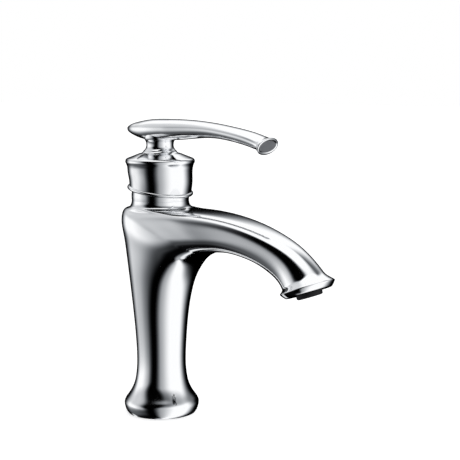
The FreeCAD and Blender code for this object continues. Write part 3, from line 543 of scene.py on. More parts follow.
class Sheet:
    """The nodes of one material or of the world."""

    def __init__(self, tree: bpy.types.NodeTree) -> None:
        """Starts from an empty sheet."""
        self.tree = tree
        tree.nodes.clear()

    def node(
        self, kind: str, settings: dict[str, Any], values: dict[Any, Any], output: int | str = 0
    ) -> Wire:
        """Adds a node.

        Args:
            kind: the node's type.
            settings: its own settings, set before its sockets.
            values: numbers, colours or wires for its sockets, by name or number.
            output: the socket that is handed back.

        Returns:
            The wire of that socket.
        """
        node = self.tree.nodes.new(kind)
        for name, value in settings.items():
            setattr(node, name, value)
        for name, value in values.items():
            if isinstance(value, Wire):
                self.tree.links.new(value.socket, node.inputs[name])
            else:
                node.inputs[name].default_value = value
        return Wire(self, node.outputs[output])

    def deliver(self, kind: str, shader: Wire) -> None:
        """Hands a finished shader to the sheet's output, a node of the given type."""
        output = self.tree.nodes.new(kind)
        self.tree.links.new(shader.socket, output.inputs["Surface"])

    def stepped(self, value: Wire, step: Step) -> Wire:
        """A value, taken through a soft step.

        Args:
            value: what is stepped.
            step: the step.

        Returns:
            The stepped value.
        """
        ends = {
            "Value": value,
            "From Min": step.low,
            "From Max": step.high,
            "To Min": step.before,
            "To Max": step.after,
        }
        return self.node("ShaderNodeMapRange", {"interpolation_type": "SMOOTHSTEP"}, ends)

    def along(self, place: Wire, way: Triple) -> Wire:
        """How far a place lies along a direction."""
        dot = {"operation": "DOT_PRODUCT"}
        return self.node("ShaderNodeVectorMath", dot, {0: place, 1: way}, "Value")

    def grain(self, scale: float, detail: float, stretch: Triple = (1, 1, 1)) -> Wire:
        """Noise fixed to the piece.

        Args:
            scale: how many spots a metre holds.
            detail: how fine it goes on.
            stretch: how much denser it is along each axis.

        Returns:
            A value from 0 to 1.
        """
        place = self.node("ShaderNodeTexCoord", {}, {}, "Object")
        place = self.node("ShaderNodeMapping", {}, {"Vector": place, "Scale": stretch})
        values = {"Vector": place, "Scale": scale, "Detail": detail}
        return self.node("ShaderNodeTexNoise", {}, values)

    def blend(self, share: Wire, first: Triple, second: Triple) -> Wire:
        """A colour between two, by a share."""
        values = {"Factor": share, MIX_FIRST: (*first, 1), MIX_SECOND: (*second, 1)}
        return self.node("ShaderNodeMix", {"data_type": "RGBA"}, values, MIX_RESULT)


# Finishes


@dataclass(frozen=True)
class Finish:
    """A surface: its colours, gloss, and the grain and broader patches that vary them."""

    slot: str
    light: Triple
    dark: Triple
    metallic: float
    roughness: float
    unevenness: float
    grain: float
    bump: float
    stretch: Triple = (1, 1, 1)
    depth: float = 0.00005
    detail: float = 3.0
    patch_scale: float = 0.13
    patch_detail: float = 2.0
    patch_share: float = 0.5
    coat: float = 0.0
    coat_roughness: float = 0.08
    specular: float = 0.5

    def material(self) -> bpy.types.Material:
        """The finish as a material, made once.

        Returns:
            The material, named after its slot.
        """
        name = f"finish_{self.slot}"
        known = bpy.data.materials.get(name)
        if known:
            return known
        material = bpy.data.materials.new(name)
        material.use_nodes = True
        sheet = Sheet(material.node_tree)
        patches = sheet.grain(self.grain * self.patch_scale, self.patch_detail)
        fine = sheet.grain(self.grain, self.detail, self.stretch)
        lightness = patches * self.patch_share + fine * (1 - self.patch_share)
        smoothest = self.roughness - self.unevenness
        relief = {"Strength": self.bump, "Distance": self.depth, "Height": fine}
        values = {
            "Base Color": sheet.blend(lightness, self.dark, self.light),
            "Roughness": fine * self.unevenness + patches * self.unevenness + smoothest,
            "Metallic": self.metallic,
            "Normal": sheet.node("ShaderNodeBump", {}, relief),
            "Specular IOR Level": self.specular,
            "Coat Weight": self.coat,
            "Coat Roughness": self.coat_roughness,
        }
        shader = sheet.node("ShaderNodeBsdfPrincipled", {}, values)
        sheet.deliver("ShaderNodeOutputMaterial", shader)
        return material


CHROME = Finish(
    "chrome_plate",
    light=(0.90, 0.905, 0.915),
    dark=(0.87, 0.88, 0.895),
    metallic=1.0,
    roughness=0.09,
    unevenness=0.02,
    grain=90,
    bump=0.01,
)
SATIN_CAP = Finish(
    "satin_cap",
    light=(0.42, 0.43, 0.45),
    dark=(0.30, 0.31, 0.33),
    metallic=1.0,
    roughness=0.42,
    unevenness=0.10,
    grain=900,
    stretch=(1, 0.12, 1),
    bump=0.15,
)
RUBBER = Finish(
    "black_rubber",
    light=(0.035, 0.035, 0.036),
    dark=(0.015, 0.015, 0.016),
    metallic=0.0,
    roughness=0.75,
    unevenness=0.12,
    grain=1500,
    bump=0.3,
)
BRASS = Finish(
    "brass",
    light=(0.78, 0.60, 0.28),
    dark=(0.62, 0.46, 0.20),
    metallic=1.0,
    roughness=0.30,
    unevenness=0.10,
    grain=700,
    stretch=(1, 1, 0.1),
    bump=0.1,
)
STEM_BRASS = Finish(
    "stem_brass",
    light=(0.74, 0.58, 0.28),
    dark=(0.58, 0.44, 0.20),
    metallic=1.0,
    roughness=0.34,
    unevenness=0.10,
    grain=800,
    stretch=(0.1, 1, 1),
    bump=0.12,
)
WHITE_PLASTIC = Finish(
    "white_plastic",
    light=(0.86, 0.86, 0.83),
    dark=(0.80, 0.80, 0.77),
    metallic=0.0,
    roughness=0.42,
    unevenness=0.08,
    grain=600,
    bump=0.12,
)
GREY_PLASTIC = Finish(
    "grey_plastic",
    light=(0.38, 0.39, 0.41),
    dark=(0.31, 0.32, 0.34),
    metallic=0.0,
    roughness=0.45,
    unevenness=0.08,
    grain=600,
    bump=0.12,
)
RED_PLASTIC = Finish(
    "red_plastic",
    light=(0.62, 0.06, 0.05),
    dark=(0.50, 0.04, 0.04),
    metallic=0.0,
    roughness=0.40,
    unevenness=0.08,
    grain=600,
    bump=0.12,
)
PLUG_PLASTIC = Finish(
    "plug_plastic",
    light=(0.58, 0.59, 0.61),
    dark=(0.50, 0.51, 0.53),
    metallic=0.0,
    roughness=0.22,
    unevenness=0.06,
    grain=700,
    bump=0.08,
    coat=0.4,
)
BLACK_PLASTIC = Finish(
    "black_plastic",
    light=(0.010, 0.010, 0.011),
    dark=(0.005, 0.005, 0.006),
    metallic=0.0,
    roughness=0.45,
    unevenness=0.10,
    grain=900,
    bump=0.2,
    specular=0.2,
)
CERAMIC = Finish(
    "ceramic",
    light=(0.90, 0.89, 0.86),
    dark=(0.84, 0.83, 0.80),
    metallic=0.0,
    roughness=0.28,
    unevenness=0.08,
    grain=500,
    bump=0.05,
    coat=0.3,
)
STEEL = Finish(
    "steel",
    light=(0.64, 0.64, 0.65),
    dark=(0.50, 0.50, 0.52),
    metallic=1.0,
    roughness=0.30,
    unevenness=0.10,
    grain=900,
    stretch=(1, 1, 0.1),
    bump=0.12,
)
FINISHES = (
    CHROME,
    SATIN_CAP,
    RUBBER,
    BRASS,
    STEM_BRASS,
    WHITE_PLASTIC,
    GREY_PLASTIC,
    RED_PLASTIC,
    PLUG_PLASTIC,
    BLACK_PLASTIC,
    CERAMIC,
    STEEL,
)


def dress(piece: bpy.types.Object, node: str, body: str, finish: Finish) -> None:
    """Gives a modelled piece its finish and puts it in the place of its node.

    Args:
        piece: the modelled piece.
        node: the part's node that it stands for.
        body: the moving body that carries it.
        finish: its finish.
    """
    shade(piece)
    piece.data.materials.clear()
    piece.data.materials.append(finish.material())
    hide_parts(node)
    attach(piece, body)
    log.info("%s: %d faces", piece.name, len(piece.data.polygons))


# Pieces


@dataclass
class Casting:
    """The body in one casting: foot, waisted column, arched spout with its lip, and ball neck.

    A profile's points are a radius and a height. The rows of column, deck and spout say how far
    along each curve a loop lies, as shares:
        column_rows: of the arch, of the back, and then how square the back is.
        deck_rows: of the arch, of the taper in width and of the flat top.
        spout_rows: of the underside, of the crown, of the taper and of the flat top.
    The rounds of the lip's face and rim are how much wider and deeper each loop is than they are.
    """

    spokes: int = 32
    neck_spokes: int = 20
    levels: int = 2
    cavity_radius: float = 18.0
    cavity_top: float = 102.0
    hollow: Profile = ((13.5, 36.0), (13.5, 22.0), (17.5, 8.0), (17.5, 0.0))
    gasket_groove: Profile = ((19.0, 0.0), (19.0, 1.5), (21.4, 1.5), (21.4, 0.0))
    foot_radius: float = 22.6
    foot_bead: Profile = (
        (23.7, 1.6),
        (24.5, 3.7),
        (24.93, 6.0),
        (24.75, 7.7),
        (24.1, 9.2),
        (23.1, 10.7),
    )
    foot_cove: Profile = ((21.6, 12.8), (20.2, 15.1), (18.9, 17.8), (17.75, 21.3), (16.85, 26.5))
    waist: Point = (16.3, 36.0)
    spring: Point = (18.6, 70.0)
    between_out: float = 0.3
    between_up: float = 0.47
    column_rows: tuple[Triple, ...] = (
        (0.17, 0.29, 2.0),
        (0.31, 0.56, 2.05),
        (0.48, 0.83, 2.2),
        (0.62, 1.0, 2.45),
    )
    shoulder_radius: float = 25.0
    shoulder_height: float = 129.0
    shoulder_half_width: float = 24.86
    deck_height: float = 138.0
    deck_edge: float = 22.4
    deck_edge_drop: float = 1.6
    deck_back_share: float = 0.6
    deck_rows: tuple[Triple, ...] = (
        (0.73, 0.125, 0.225),
        (0.77, 0.19, 0.45),
        (0.83, 0.25, 0.75),
        (0.88, 0.31, 1.0),
        (0.94, 0.375, 0.8),
    )
    arch_top: Point = (60.0, 113.0)
    arch_lift: float = 34.0
    arch_lead: float = 22.0
    spout_lead: float = 18.0
    spout_rows: tuple[tuple[float, float, float, float], ...] = (
        (0.09, 0.19, 0.5, 0.55),
        (0.33, 0.42, 0.625, 0.35),
        (0.56, 0.65, 0.75, 0.2),
        (0.82, 0.84, 0.875, 0.1),
        (1.0, 1.0, 1.0, 0.0),
    )
    crown_start: float = 30.0
    crown_lead: float = 40.0
    crown_tail: float = 26.0
    crown_tail_tilt: float = 44.0
    widths: tuple[float, float, float, float] = (25.0, 26.0, 8.2, 13.5)
    side_power: float = 2.45
    deck_power: float = 6.0
    face: Point = OUTLET_FACE
    face_tilt: float = OUTLET_TILT
    face_radius: float = 14.4
    face_round: Profile = ((0.5, -0.5), (-0.3, 0.0))
    rim_radius: float = 17.4
    rim_depth: float = 3.8
    rim_round: Profile = ((-0.35, -0.5), (0.05, 0.0), (-0.2, 0.6))
    throat_radius: float = 13.5
    throat_tilt: float = 31.0
    throat_back: float = 10.1
    throat_offset: float = 2.5
    throat_lead: float = 9.4
    flare_radius: float = 14.4
    aerator_bore: float = 8.25
    aerator_depth: float = 11.1
    neck_opening: int = 3
    neck_cove: Profile = ((21.3, 137.8), (20.3, 138.45), (19.5, 139.5), (19.0, 141.0))
    spigot: Profile = ((18.85, 142.6), (17.0, 142.6), (17.0, 148.0), (15.15, 148.0))
    cartridge_bore: Profile = ((15.15, 141.0), (13.1, 141.0), (13.1, 112.0))
    inlet_back: float = 3.5
    inlet_side: float = 8.0
    inlet_radius: float = 4.5
    inlet_depth: float = 10.0
    inlet_clear: float = 1.0

    def foot(self) -> list[Loop]:
        """Loops of the hollow, the sole with its gasket groove, and the foot up to the waist.

        Returns:
            The loops, in order.
        """
        hollow = ((self.cavity_radius, self.cavity_top), *self.hollow)
        sole = (*self.gasket_groove, (self.foot_radius, 0.0))
        outside = (*self.foot_bead, *self.foot_cove, self.waist)
        return turned(hollow + sole, Hold.CRISP) + turned(outside, Hold.SMOOTH)

    def column(self) -> list[Loop]:
        """Loops from the waist up the widening column to the deck's back edge.

        Returns:
            The loops, in order.
        """
        (waist, low), (spring, high) = self.waist, self.spring
        radius = waist + (spring - waist) * self.between_out
        height = low + (high - low) * self.between_up
        loops = turned(((radius, height), self.spring), Hold.SMOOTH)
        back_foot = Vector((-spring, high))
        back_top = Vector((-self.shoulder_radius, self.shoulder_height))
        for arch_share, back_share, back_power in self.column_rows:
            near = bezier(*self.arch(), arch_share)
            far = back_foot + (back_top - back_foot) * back_share
            width = spring + (self.shoulder_half_width - spring) * back_share
            power = ELLIPSE + (self.side_power - ELLIPSE) * back_share
            loops.append(Loop(tuple(near), tuple(far), width, power, back_power))
        return loops

    def arch(self) -> tuple[Vector, Vector, Vector, Vector]:
        """Curve of the column's front, up into the arch.

        Returns:
            The four points that steer it.
        """
        spring, top = Vector(self.spring), Vector(self.arch_top)
        slope = (self.shoulder_radius - spring.x) / (self.shoulder_height - spring.y)
        rising = spring + Vector((slope, 1)) * self.arch_lift
        return spring, rising, top - Vector((self.arch_lead, 0)), top

    def throat(self) -> tuple[Vector, Vector, Vector]:
        """Places the throat behind the lip.

        Returns:
            Its centre, and its lower and upper points.
        """
        across, down = leaning(self.face_tilt)
        centre = Vector(self.face) - down * self.throat_back - across * self.throat_offset
        arm = leaning(self.throat_tilt)[0] * self.throat_radius
        return centre, centre - arm, centre + arm

    def deck(self) -> list[Loop]:
        """Loops across the deck, the back edge first.

        Returns:
            The loops, in order.
        """
        edge, height = self.deck_edge, self.deck_height
        tops = (
            (-edge, height - self.deck_edge_drop),
            (-self.deck_back_share * edge, height),
            (0.0, height),
            (self.crown_start / 2, height),
            (self.crown_start, height),
        )
        loops = []
        for (arch_share, taper, flat), top in zip(self.deck_rows, tops):
            near = bezier(*self.arch(), arch_share)
            loops.append(self._across(near, Vector(top), taper, flat))
        return loops

    def spout(self) -> list[Loop]:
        """Loops along the spout, from the deck's front to the throat.

        Returns:
            The loops, in order.
        """
        _, under, over = self.throat()
        top, down = Vector(self.arch_top), leaning(self.throat_tilt)[1]
        lead = Vector((self.spout_lead, 0))
        below = top, top + lead, under - down * self.throat_lead, under
        start = Vector((self.crown_start, self.deck_height))
        tail = leaning(self.crown_tail_tilt)[1] * self.crown_tail
        above = start, start + Vector((self.crown_lead, 0)), over - tail, over
        loops = []
        for under_share, crown_share, taper, flat in self.spout_rows:
            near, far = bezier(*below, under_share), bezier(*above, crown_share)
            loops.append(self._across(near, far, taper, flat))
        return loops

    def _across(self, near: Vector, far: Vector, taper: float, flat: float) -> Loop:
        """A loop of the deck or spout.

        Args:
            near: its point on the underside.
            far: its point on top.
            taper: its share of the taper in width.
            flat: how flat its top is, from 0 to 1.

        Returns:
            The loop.
        """
        width = bezier(*self.widths, taper)
        near_power = ELLIPSE + (self.side_power - ELLIPSE) * (1 - taper**2)
        far_power = ELLIPSE + (self.deck_power - ELLIPSE) * flat
        return Loop(tuple(near), tuple(far), width, near_power, far_power)

    def lip(self) -> list[Loop]:
        """Loops of the flared lip and of the aerator's bore in it.

        Returns:
            The loops, in order.
        """
        across, down = leaning(self.face_tilt)
        face = Vector(self.face)
        rim = face - down * self.rim_depth
        flare = self.throat()[0] * 0.5 + rim * 0.5
        flare_across = leaning((self.face_tilt + self.throat_tilt) / 2)[0]
        loops = [Loop.leaned(flare, flare_across, self.flare_radius, Hold.SMOOTH)]
        edges = ((rim, self.rim_radius, self.rim_round), (face, self.face_radius, self.face_round))
        for middle, radius, rounding in edges:
            for wider, deeper in rounding:
                centre = middle + down * deeper
                loops.append(Loop.leaned(centre, across, radius + wider, Hold.TIGHT))
        for centre in (face, face - down * self.aerator_depth):
            loops.append(Loop.leaned(centre, across, self.aerator_bore, Hold.CRISP))
        return loops

    def neck(self) -> list[Loop]:
        """Loops of the ball neck, the spigot on it and the cartridge's bore."""
        inside = self.spigot + self.cartridge_bore
        return turned(self.neck_cove, Hold.TIGHT) + turned(inside, Hold.CRISP)

    def build(self) -> None:
        """Models the casting, drills its two inlets and dresses it."""
        shaper = Shaper("cast_body", self.spokes)
        below, deck = self.foot() + self.column(), self.deck()
        made = shaper.grow_solid(below + deck + self.spout() + self.lip())
        top = self.spokes // 4  # the spoke on the deck's middle line
        columns = range(top - self.neck_opening, top + self.neck_opening + 1)
        shaper.open(made[len(below) : len(below) + len(deck)], columns)
        shaper.start_again(self.neck_spokes)
        neck = shaper.grow(self.neck())
        shaper.close(neck[-1])
        shaper.bridge()
        body = shaper.finish(self.levels)
        rise = Vector((0, 0, self.inlet_depth + 2 * self.inlet_clear))
        for side in (-self.inlet_side, self.inlet_side):
            start = Vector((-self.inlet_back, side, self.cavity_top - self.inlet_clear))
            drill(body, start, start + rise, self.inlet_radius)
        dress(body, "faucet_body", "fixture", CHROME)


@dataclass
class Aerator:
    """The aerator's black housing, a short tube with a rounded edge below the spout's lip.

    Its edge's round says how far inward and upward from the outer corner each loop lies.
    """

    spokes: int = 32
    levels: int = 2
    face: Point = OUTLET_FACE
    tilt: float = OUTLET_TILT
    radius: float = 8.2
    bore: float = 6.9
    lip_bore: float = 6.2
    proud: float = 2.5
    lip: float = 0.8
    inside: float = 9.5
    edge_round: Profile = ((1.0, 0.0), (0.25, 0.25), (0.0, 1.0))

    def build(self) -> None:
        """Models the tube from its inner end, down its bore and up its outside."""
        across, down = leaning(self.tilt)
        floor, end = self.proud - self.lip, self.proud
        bore = ((self.bore, -self.inside), (self.bore, floor))
        lip = ((self.lip_bore, floor), (self.lip_bore, end))
        edge = [(self.radius - inward, end - upward) for inward, upward in self.edge_round]
        outside = ((self.radius, 0.0), (self.radius, -self.inside))
        loops = []
        runs = ((bore + lip, Hold.CRISP), (edge, Hold.TIGHT), (outside, Hold.CRISP))
        for points, hold in runs:
            for radius, depth in points:
                centre = Vector(self.face) + down * depth
                loops.append(Loop.leaned(centre, across, radius, hold))
        shaper = Shaper("aerator_tube", self.spokes)
        shaper.grow(loops)
        shaper.bridge()
        dress(shaper.finish(self.levels), "aerator_housing", "fixture", BLACK_PLASTIC)


@dataclass
class BallCollar:
    """The polished ball that the hood turns on, a thin ring round the cartridge's nut."""

    spokes: int = 32
    levels: int = 2
    pivot: float = 145.0
    radius: float = 19.0
    wall: float = 1.6
    seam: float = 142.6
    seam_inset: float = 0.16
    seam_outset: float = 0.02
    seam_rise: float = 0.18
    top: float = 154.5
    bore: float = 17.05
    lid: float = 148.2
    outer_steps: int = 5
    inner_steps: int = 3

    def _on_ball(self, radius: float, height: float) -> Point:
        """The profile's point at a height on a ball of this radius."""
        return math.sqrt(radius**2 - (height - self.pivot) ** 2), height

    def build(self) -> None:
        """Models the ring and dresses it."""
        inner = self.radius - self.wall
        foot, brim = self._on_ball(self.radius, self.seam), self._on_ball(self.radius, self.top)
        under_brim, over_lid = self._on_ball(inner, self.top), self._on_ball(inner, self.lid)
        start = (foot[0] + self.seam_outset, self.seam + self.seam_rise)
        ball = swept(start, brim, self.radius, self.outer_steps)
        inside = swept(under_brim, over_lid, -inner, self.inner_steps)
        seam = ((self.bore, self.seam), (foot[0] - self.seam_inset, self.seam), start)
        loops = turned(seam, Hold.CRISP) + turned(ball[:-1], Hold.SMOOTH)
        loops += turned((brim, under_brim), Hold.CRISP) + turned(inside[:-1], Hold.SMOOTH)
        loops += turned((over_lid, (self.bore, self.lid)), Hold.CRISP)
        shaper = Shaper("polished_ball", self.spokes)
        shaper.grow(loops)
        shaper.bridge()
        dress(shaper.finish(self.levels), "ball_collar", "fixture", CHROME)


@dataclass
class Hood:
    """The handle's hood: a bead on its slanted rim, a straight skirt, a flange and a low dome."""

    spokes: int = 32
    levels: int = 2
    pocket: Profile = ((5.05, 166.4), (5.05, 154.0), (7.0, 154.0), (7.0, 170.5), (12.0, 170.5))
    bore: float = 19.4
    bore_top: float = 167.0
    rim_level: float = 149.2
    rim_slant: float = 8.2
    bead_ring: float = 20.6
    bead_radius: float = 1.2
    bead_angles: tuple[int, ...] = (180, 225, 270, 315, 0, 45, 84)
    skirt_foot: float = 20.52
    skirt_step: float = 0.05
    skirt_middle: Point = (0.45, 6.5)
    skirt_upper: Point = (0.28, 3.2)
    skirt_top: Point = (21.55, 163.5)
    flange_under: Point = (22.7, 167.3)
    flange_cove: float = 9.0
    flange_round: float = 2.2
    flange_steps: int = 4
    dome_edge: Point = (21.5, 170.2)
    dome_top: Point = (13.6, 173.3)
    dome_shares: tuple[float, ...] = (0.12, 0.4, 0.7, 1.0)
    dome_cove: float = 3.5
    cove_steps: int = 3
    crease: Point = (10.6, 175.4)
    screw_level: float = 158.0
    plug_radius: float = 2.9
    plug_clear: float = 1.0
    plug_length: float = 4.0

    def inside(self) -> list[Loop]:
        """Loops of the stem's pocket, the hub, the roof and the bore."""
        return turned((*self.pocket, (self.bore, self.bore_top)), Hold.CRISP)

    def rim(self) -> list[Loop]:
        """Loops of the bead round the slanted rim, from the bore out to the skirt.

        Returns:
            The loops, in order.
        """
        loops = []
        ends = (self.bead_angles[0], self.bead_angles[-1])
        for angle in self.bead_angles:
            turn = math.radians(angle)
            radius = self.bead_ring + self.bead_radius * math.cos(turn)
            hold = Hold.CRISP if angle in ends else Hold.SMOOTH
            rise = self.bead_radius * math.sin(turn)
            loops.append(Loop.round(radius, self.rim_level, hold, self.rim_slant, rise))
        return loops

    def skirt(self) -> list[Loop]:
        """Loops of the straight skirt above the bead, slanted less the higher they lie.

        Returns:
            The loops, in order.
        """
        level, slant = self.rim_level, self.rim_slant
        (wider, rise), (narrower, drop) = self.skirt_middle, self.skirt_upper
        over_bead = self.bead_radius + self.skirt_step
        return [
            Loop.round(self.skirt_foot, level, Hold.CRISP, slant, over_bead),
            Loop.round(self.skirt_foot + wider, level, Hold.SMOOTH, slant / 2, rise),
            Loop.round(self.skirt_top[0] - narrower, self.skirt_top[1] - drop, Hold.SMOOTH),
        ]

    def crown(self) -> list[Loop]:
        """Loops of the flange, the dome and the cove up to the lever's neck.

        Returns:
            The loops, in order.
        """
        cove = swept(self.skirt_top, self.flange_under, -self.flange_cove, self.cove_steps)
        flange = swept(self.flange_under, self.dome_edge, self.flange_round, self.flange_steps)
        rise = swept(self.dome_top, self.crease, -self.dome_cove, self.cove_steps)
        edge, top = Vector(self.dome_edge), Vector(self.dome_top)
        dome = [tuple(edge + (top - edge) * share) for share in self.dome_shares]
        loops = turned((self.skirt_top, *cove, *flange[:-1]), Hold.SMOOTH)
        loops += turned((self.dome_edge,), Hold.TIGHT)
        loops += turned((*dome, *rise[:-1]), Hold.SMOOTH)
        return loops + turned((self.crease,), Hold.CRISP)

    def build(self) -> None:
        """Models the hood, drills its plug hole and dresses it."""
        shaper = Shaper("handle_shell", self.spokes)
        shaper.grow_solid(self.inside() + self.rim() + self.skirt() + self.crown())
        hood = shaper.finish(self.levels)
        start = Vector((-self.skirt_top[0] - self.plug_clear, 0, self.screw_level))
        drill(hood, start, start + Vector((self.plug_length, 0, 0)), self.plug_radius)
        dress(hood, "handle_hood", "handle", CHROME)


@dataclass
class Lever:
    """The leaf-shaped lever on its waisted neck, with a satin cap let into its end.

    The rows of the leaf are its place along the lever, the height of its middle above the axis,
    its half width and its half height. Those of the end's bead are an inset and a depth.
    """

    spokes: int = 24
    leaf_levels: int = 3
    neck_spokes: int = 32
    levels: int = 2
    axis: float = 189.5
    leaf_rows: tuple[tuple[float, float, float, float], ...] = (
        (-27.3, -0.7, 0.6, 0.5),
        (-26.6, -0.67, 2.5, 1.5),
        (-25.1, -0.75, 4.2, 2.65),
        (-20.5, -0.8, 6.8, 4.25),
        (-15.0, -1.0, 8.7, 5.6),
        (-10.4, -1.0, 10.0, 6.4),
        (-5.2, -0.9, 11.1, 6.9),
        (0.0, -0.7, 11.5, 7.0),
        (5.2, -0.5, 11.5, 6.92),
        (10.4, -0.3, 11.3, 6.78),
        (16.0, -0.25, 10.9, 6.75),
        (30.2, 0.2, 9.6, 5.9),
        (49.7, -0.25, 8.6, 4.65),
        (70.1, -3.2, 8.4, 4.5),
        (80.0, -5.5, 8.4, 4.6),
    )
    keel_power: float = 2.4
    brow: float = 0.12
    end_reach: float = 88.7
    end_drop: float = 8.5
    end_tilt: float = 25.0
    end_half_width: float = 10.2
    end_half_height: float = 6.0
    end_bead: Profile = (
        (1.55, 3.4),
        (0.8, 1.9),
        (0.2, 1.0),
        (0.0, 0.5),
        (0.2, 0.0),
        (0.8, -0.35),
        (1.6, -0.25),
    )
    rim: float = 2.1
    rim_edge: float = 0.1
    recess: float = 1.4
    neck_foot: Point = (10.4, 175.4)
    neck_waist: Profile = (
        (9.6, 176.4),
        (9.1, 177.6),
        (8.95, 178.8),
        (9.05, 180.0),
        (9.4, 181.2),
        (10.1, 182.4),
        (10.5, 184.0),
    )
    neck_top: Point = (10.5, 188.0)
    cap_thickness: float = 1.2
    cap_gap: float = 0.05
    cap_chamfer: float = 0.2

    def leaf(self) -> list[Loop]:
        """Loops along the lever, from its tail to just behind its end.

        Returns:
            The loops, in order.
        """
        loops = []
        for index, (x, lift, width, height) in enumerate(self.leaf_rows):
            level = self.axis + lift
            hold = Hold.TIGHT if index == 0 else Hold.SMOOTH
            near, far = (x, level - height), (x, level + height)
            loops.append(Loop(near, far, width, self.keel_power, hold=hold, bias=self.brow))
        return loops

    def at_end(self, inset: float, depth: float, hold: Hold) -> Loop:
        """A loop at the lever's leaning end.

        Args:
            inset: how far it is drawn in.
            depth: how far it lies behind the end.
            hold: how the skin treats it.

        Returns:
            The loop.
        """
        tilt = math.radians(self.end_tilt)
        up = Vector((math.sin(tilt), math.cos(tilt)))
        out = Vector((math.cos(tilt), -math.sin(tilt)))
        centre = Vector((self.end_reach, self.axis - self.end_drop)) - out * depth
        arm = up * (self.end_half_height - inset)
        width = self.end_half_width - inset
        return Loop(tuple(centre - arm), tuple(centre + arm), width, hold=hold)

    def end(self) -> list[Loop]:
        """Loops of the bead round the lever's end and of the recess in it.

        Returns:
            The loops, in order.
        """
        loops = [self.at_end(inset, depth, Hold.TIGHT) for inset, depth in self.end_bead]
        recess = (self.rim_edge, self.recess)
        return loops + [self.at_end(self.rim, depth, Hold.CRISP) for depth in recess]

    def neck(self) -> list[Loop]:
        """Loops of the waisted neck, from the hood up into the leaf."""
        foot, top = turned((self.neck_foot, self.neck_top), Hold.CRISP)
        return [foot, *turned(self.neck_waist, Hold.SMOOTH), top]

    def cap(self) -> list[Loop]:
        """Loops of the cap with its chamfered front, from the floor of the recess.

        Returns:
            The loops, in order.
        """
        inset, front = self.rim + self.cap_gap, self.recess - self.cap_thickness
        chamfer = self.cap_chamfer
        rows = ((inset, self.recess), (inset, front + chamfer), (inset + chamfer, front))
        return [self.at_end(*row, Hold.CRISP) for row in rows]

    def build(self) -> None:
        """Models the lever with its neck, and the cap, and dresses both."""
        shaper = Shaper("lever_leaf", self.spokes)
        shaper.grow_solid(self.leaf() + self.end())
        leaf = shaper.finish(self.leaf_levels)
        shaper = Shaper("lever_neck", self.neck_spokes)
        shaper.grow_solid(self.neck())
        combine(leaf, shaper.finish(self.levels), Join.ADD)
        dress(leaf, "lever_arm", "handle", CHROME)
        shaper = Shaper("lever_cap_plate", self.spokes)
        shaper.grow_solid(self.cap())
        dress(shaper.finish(self.levels), "lever_end_cap", "handle", SATIN_CAP)


# Studio


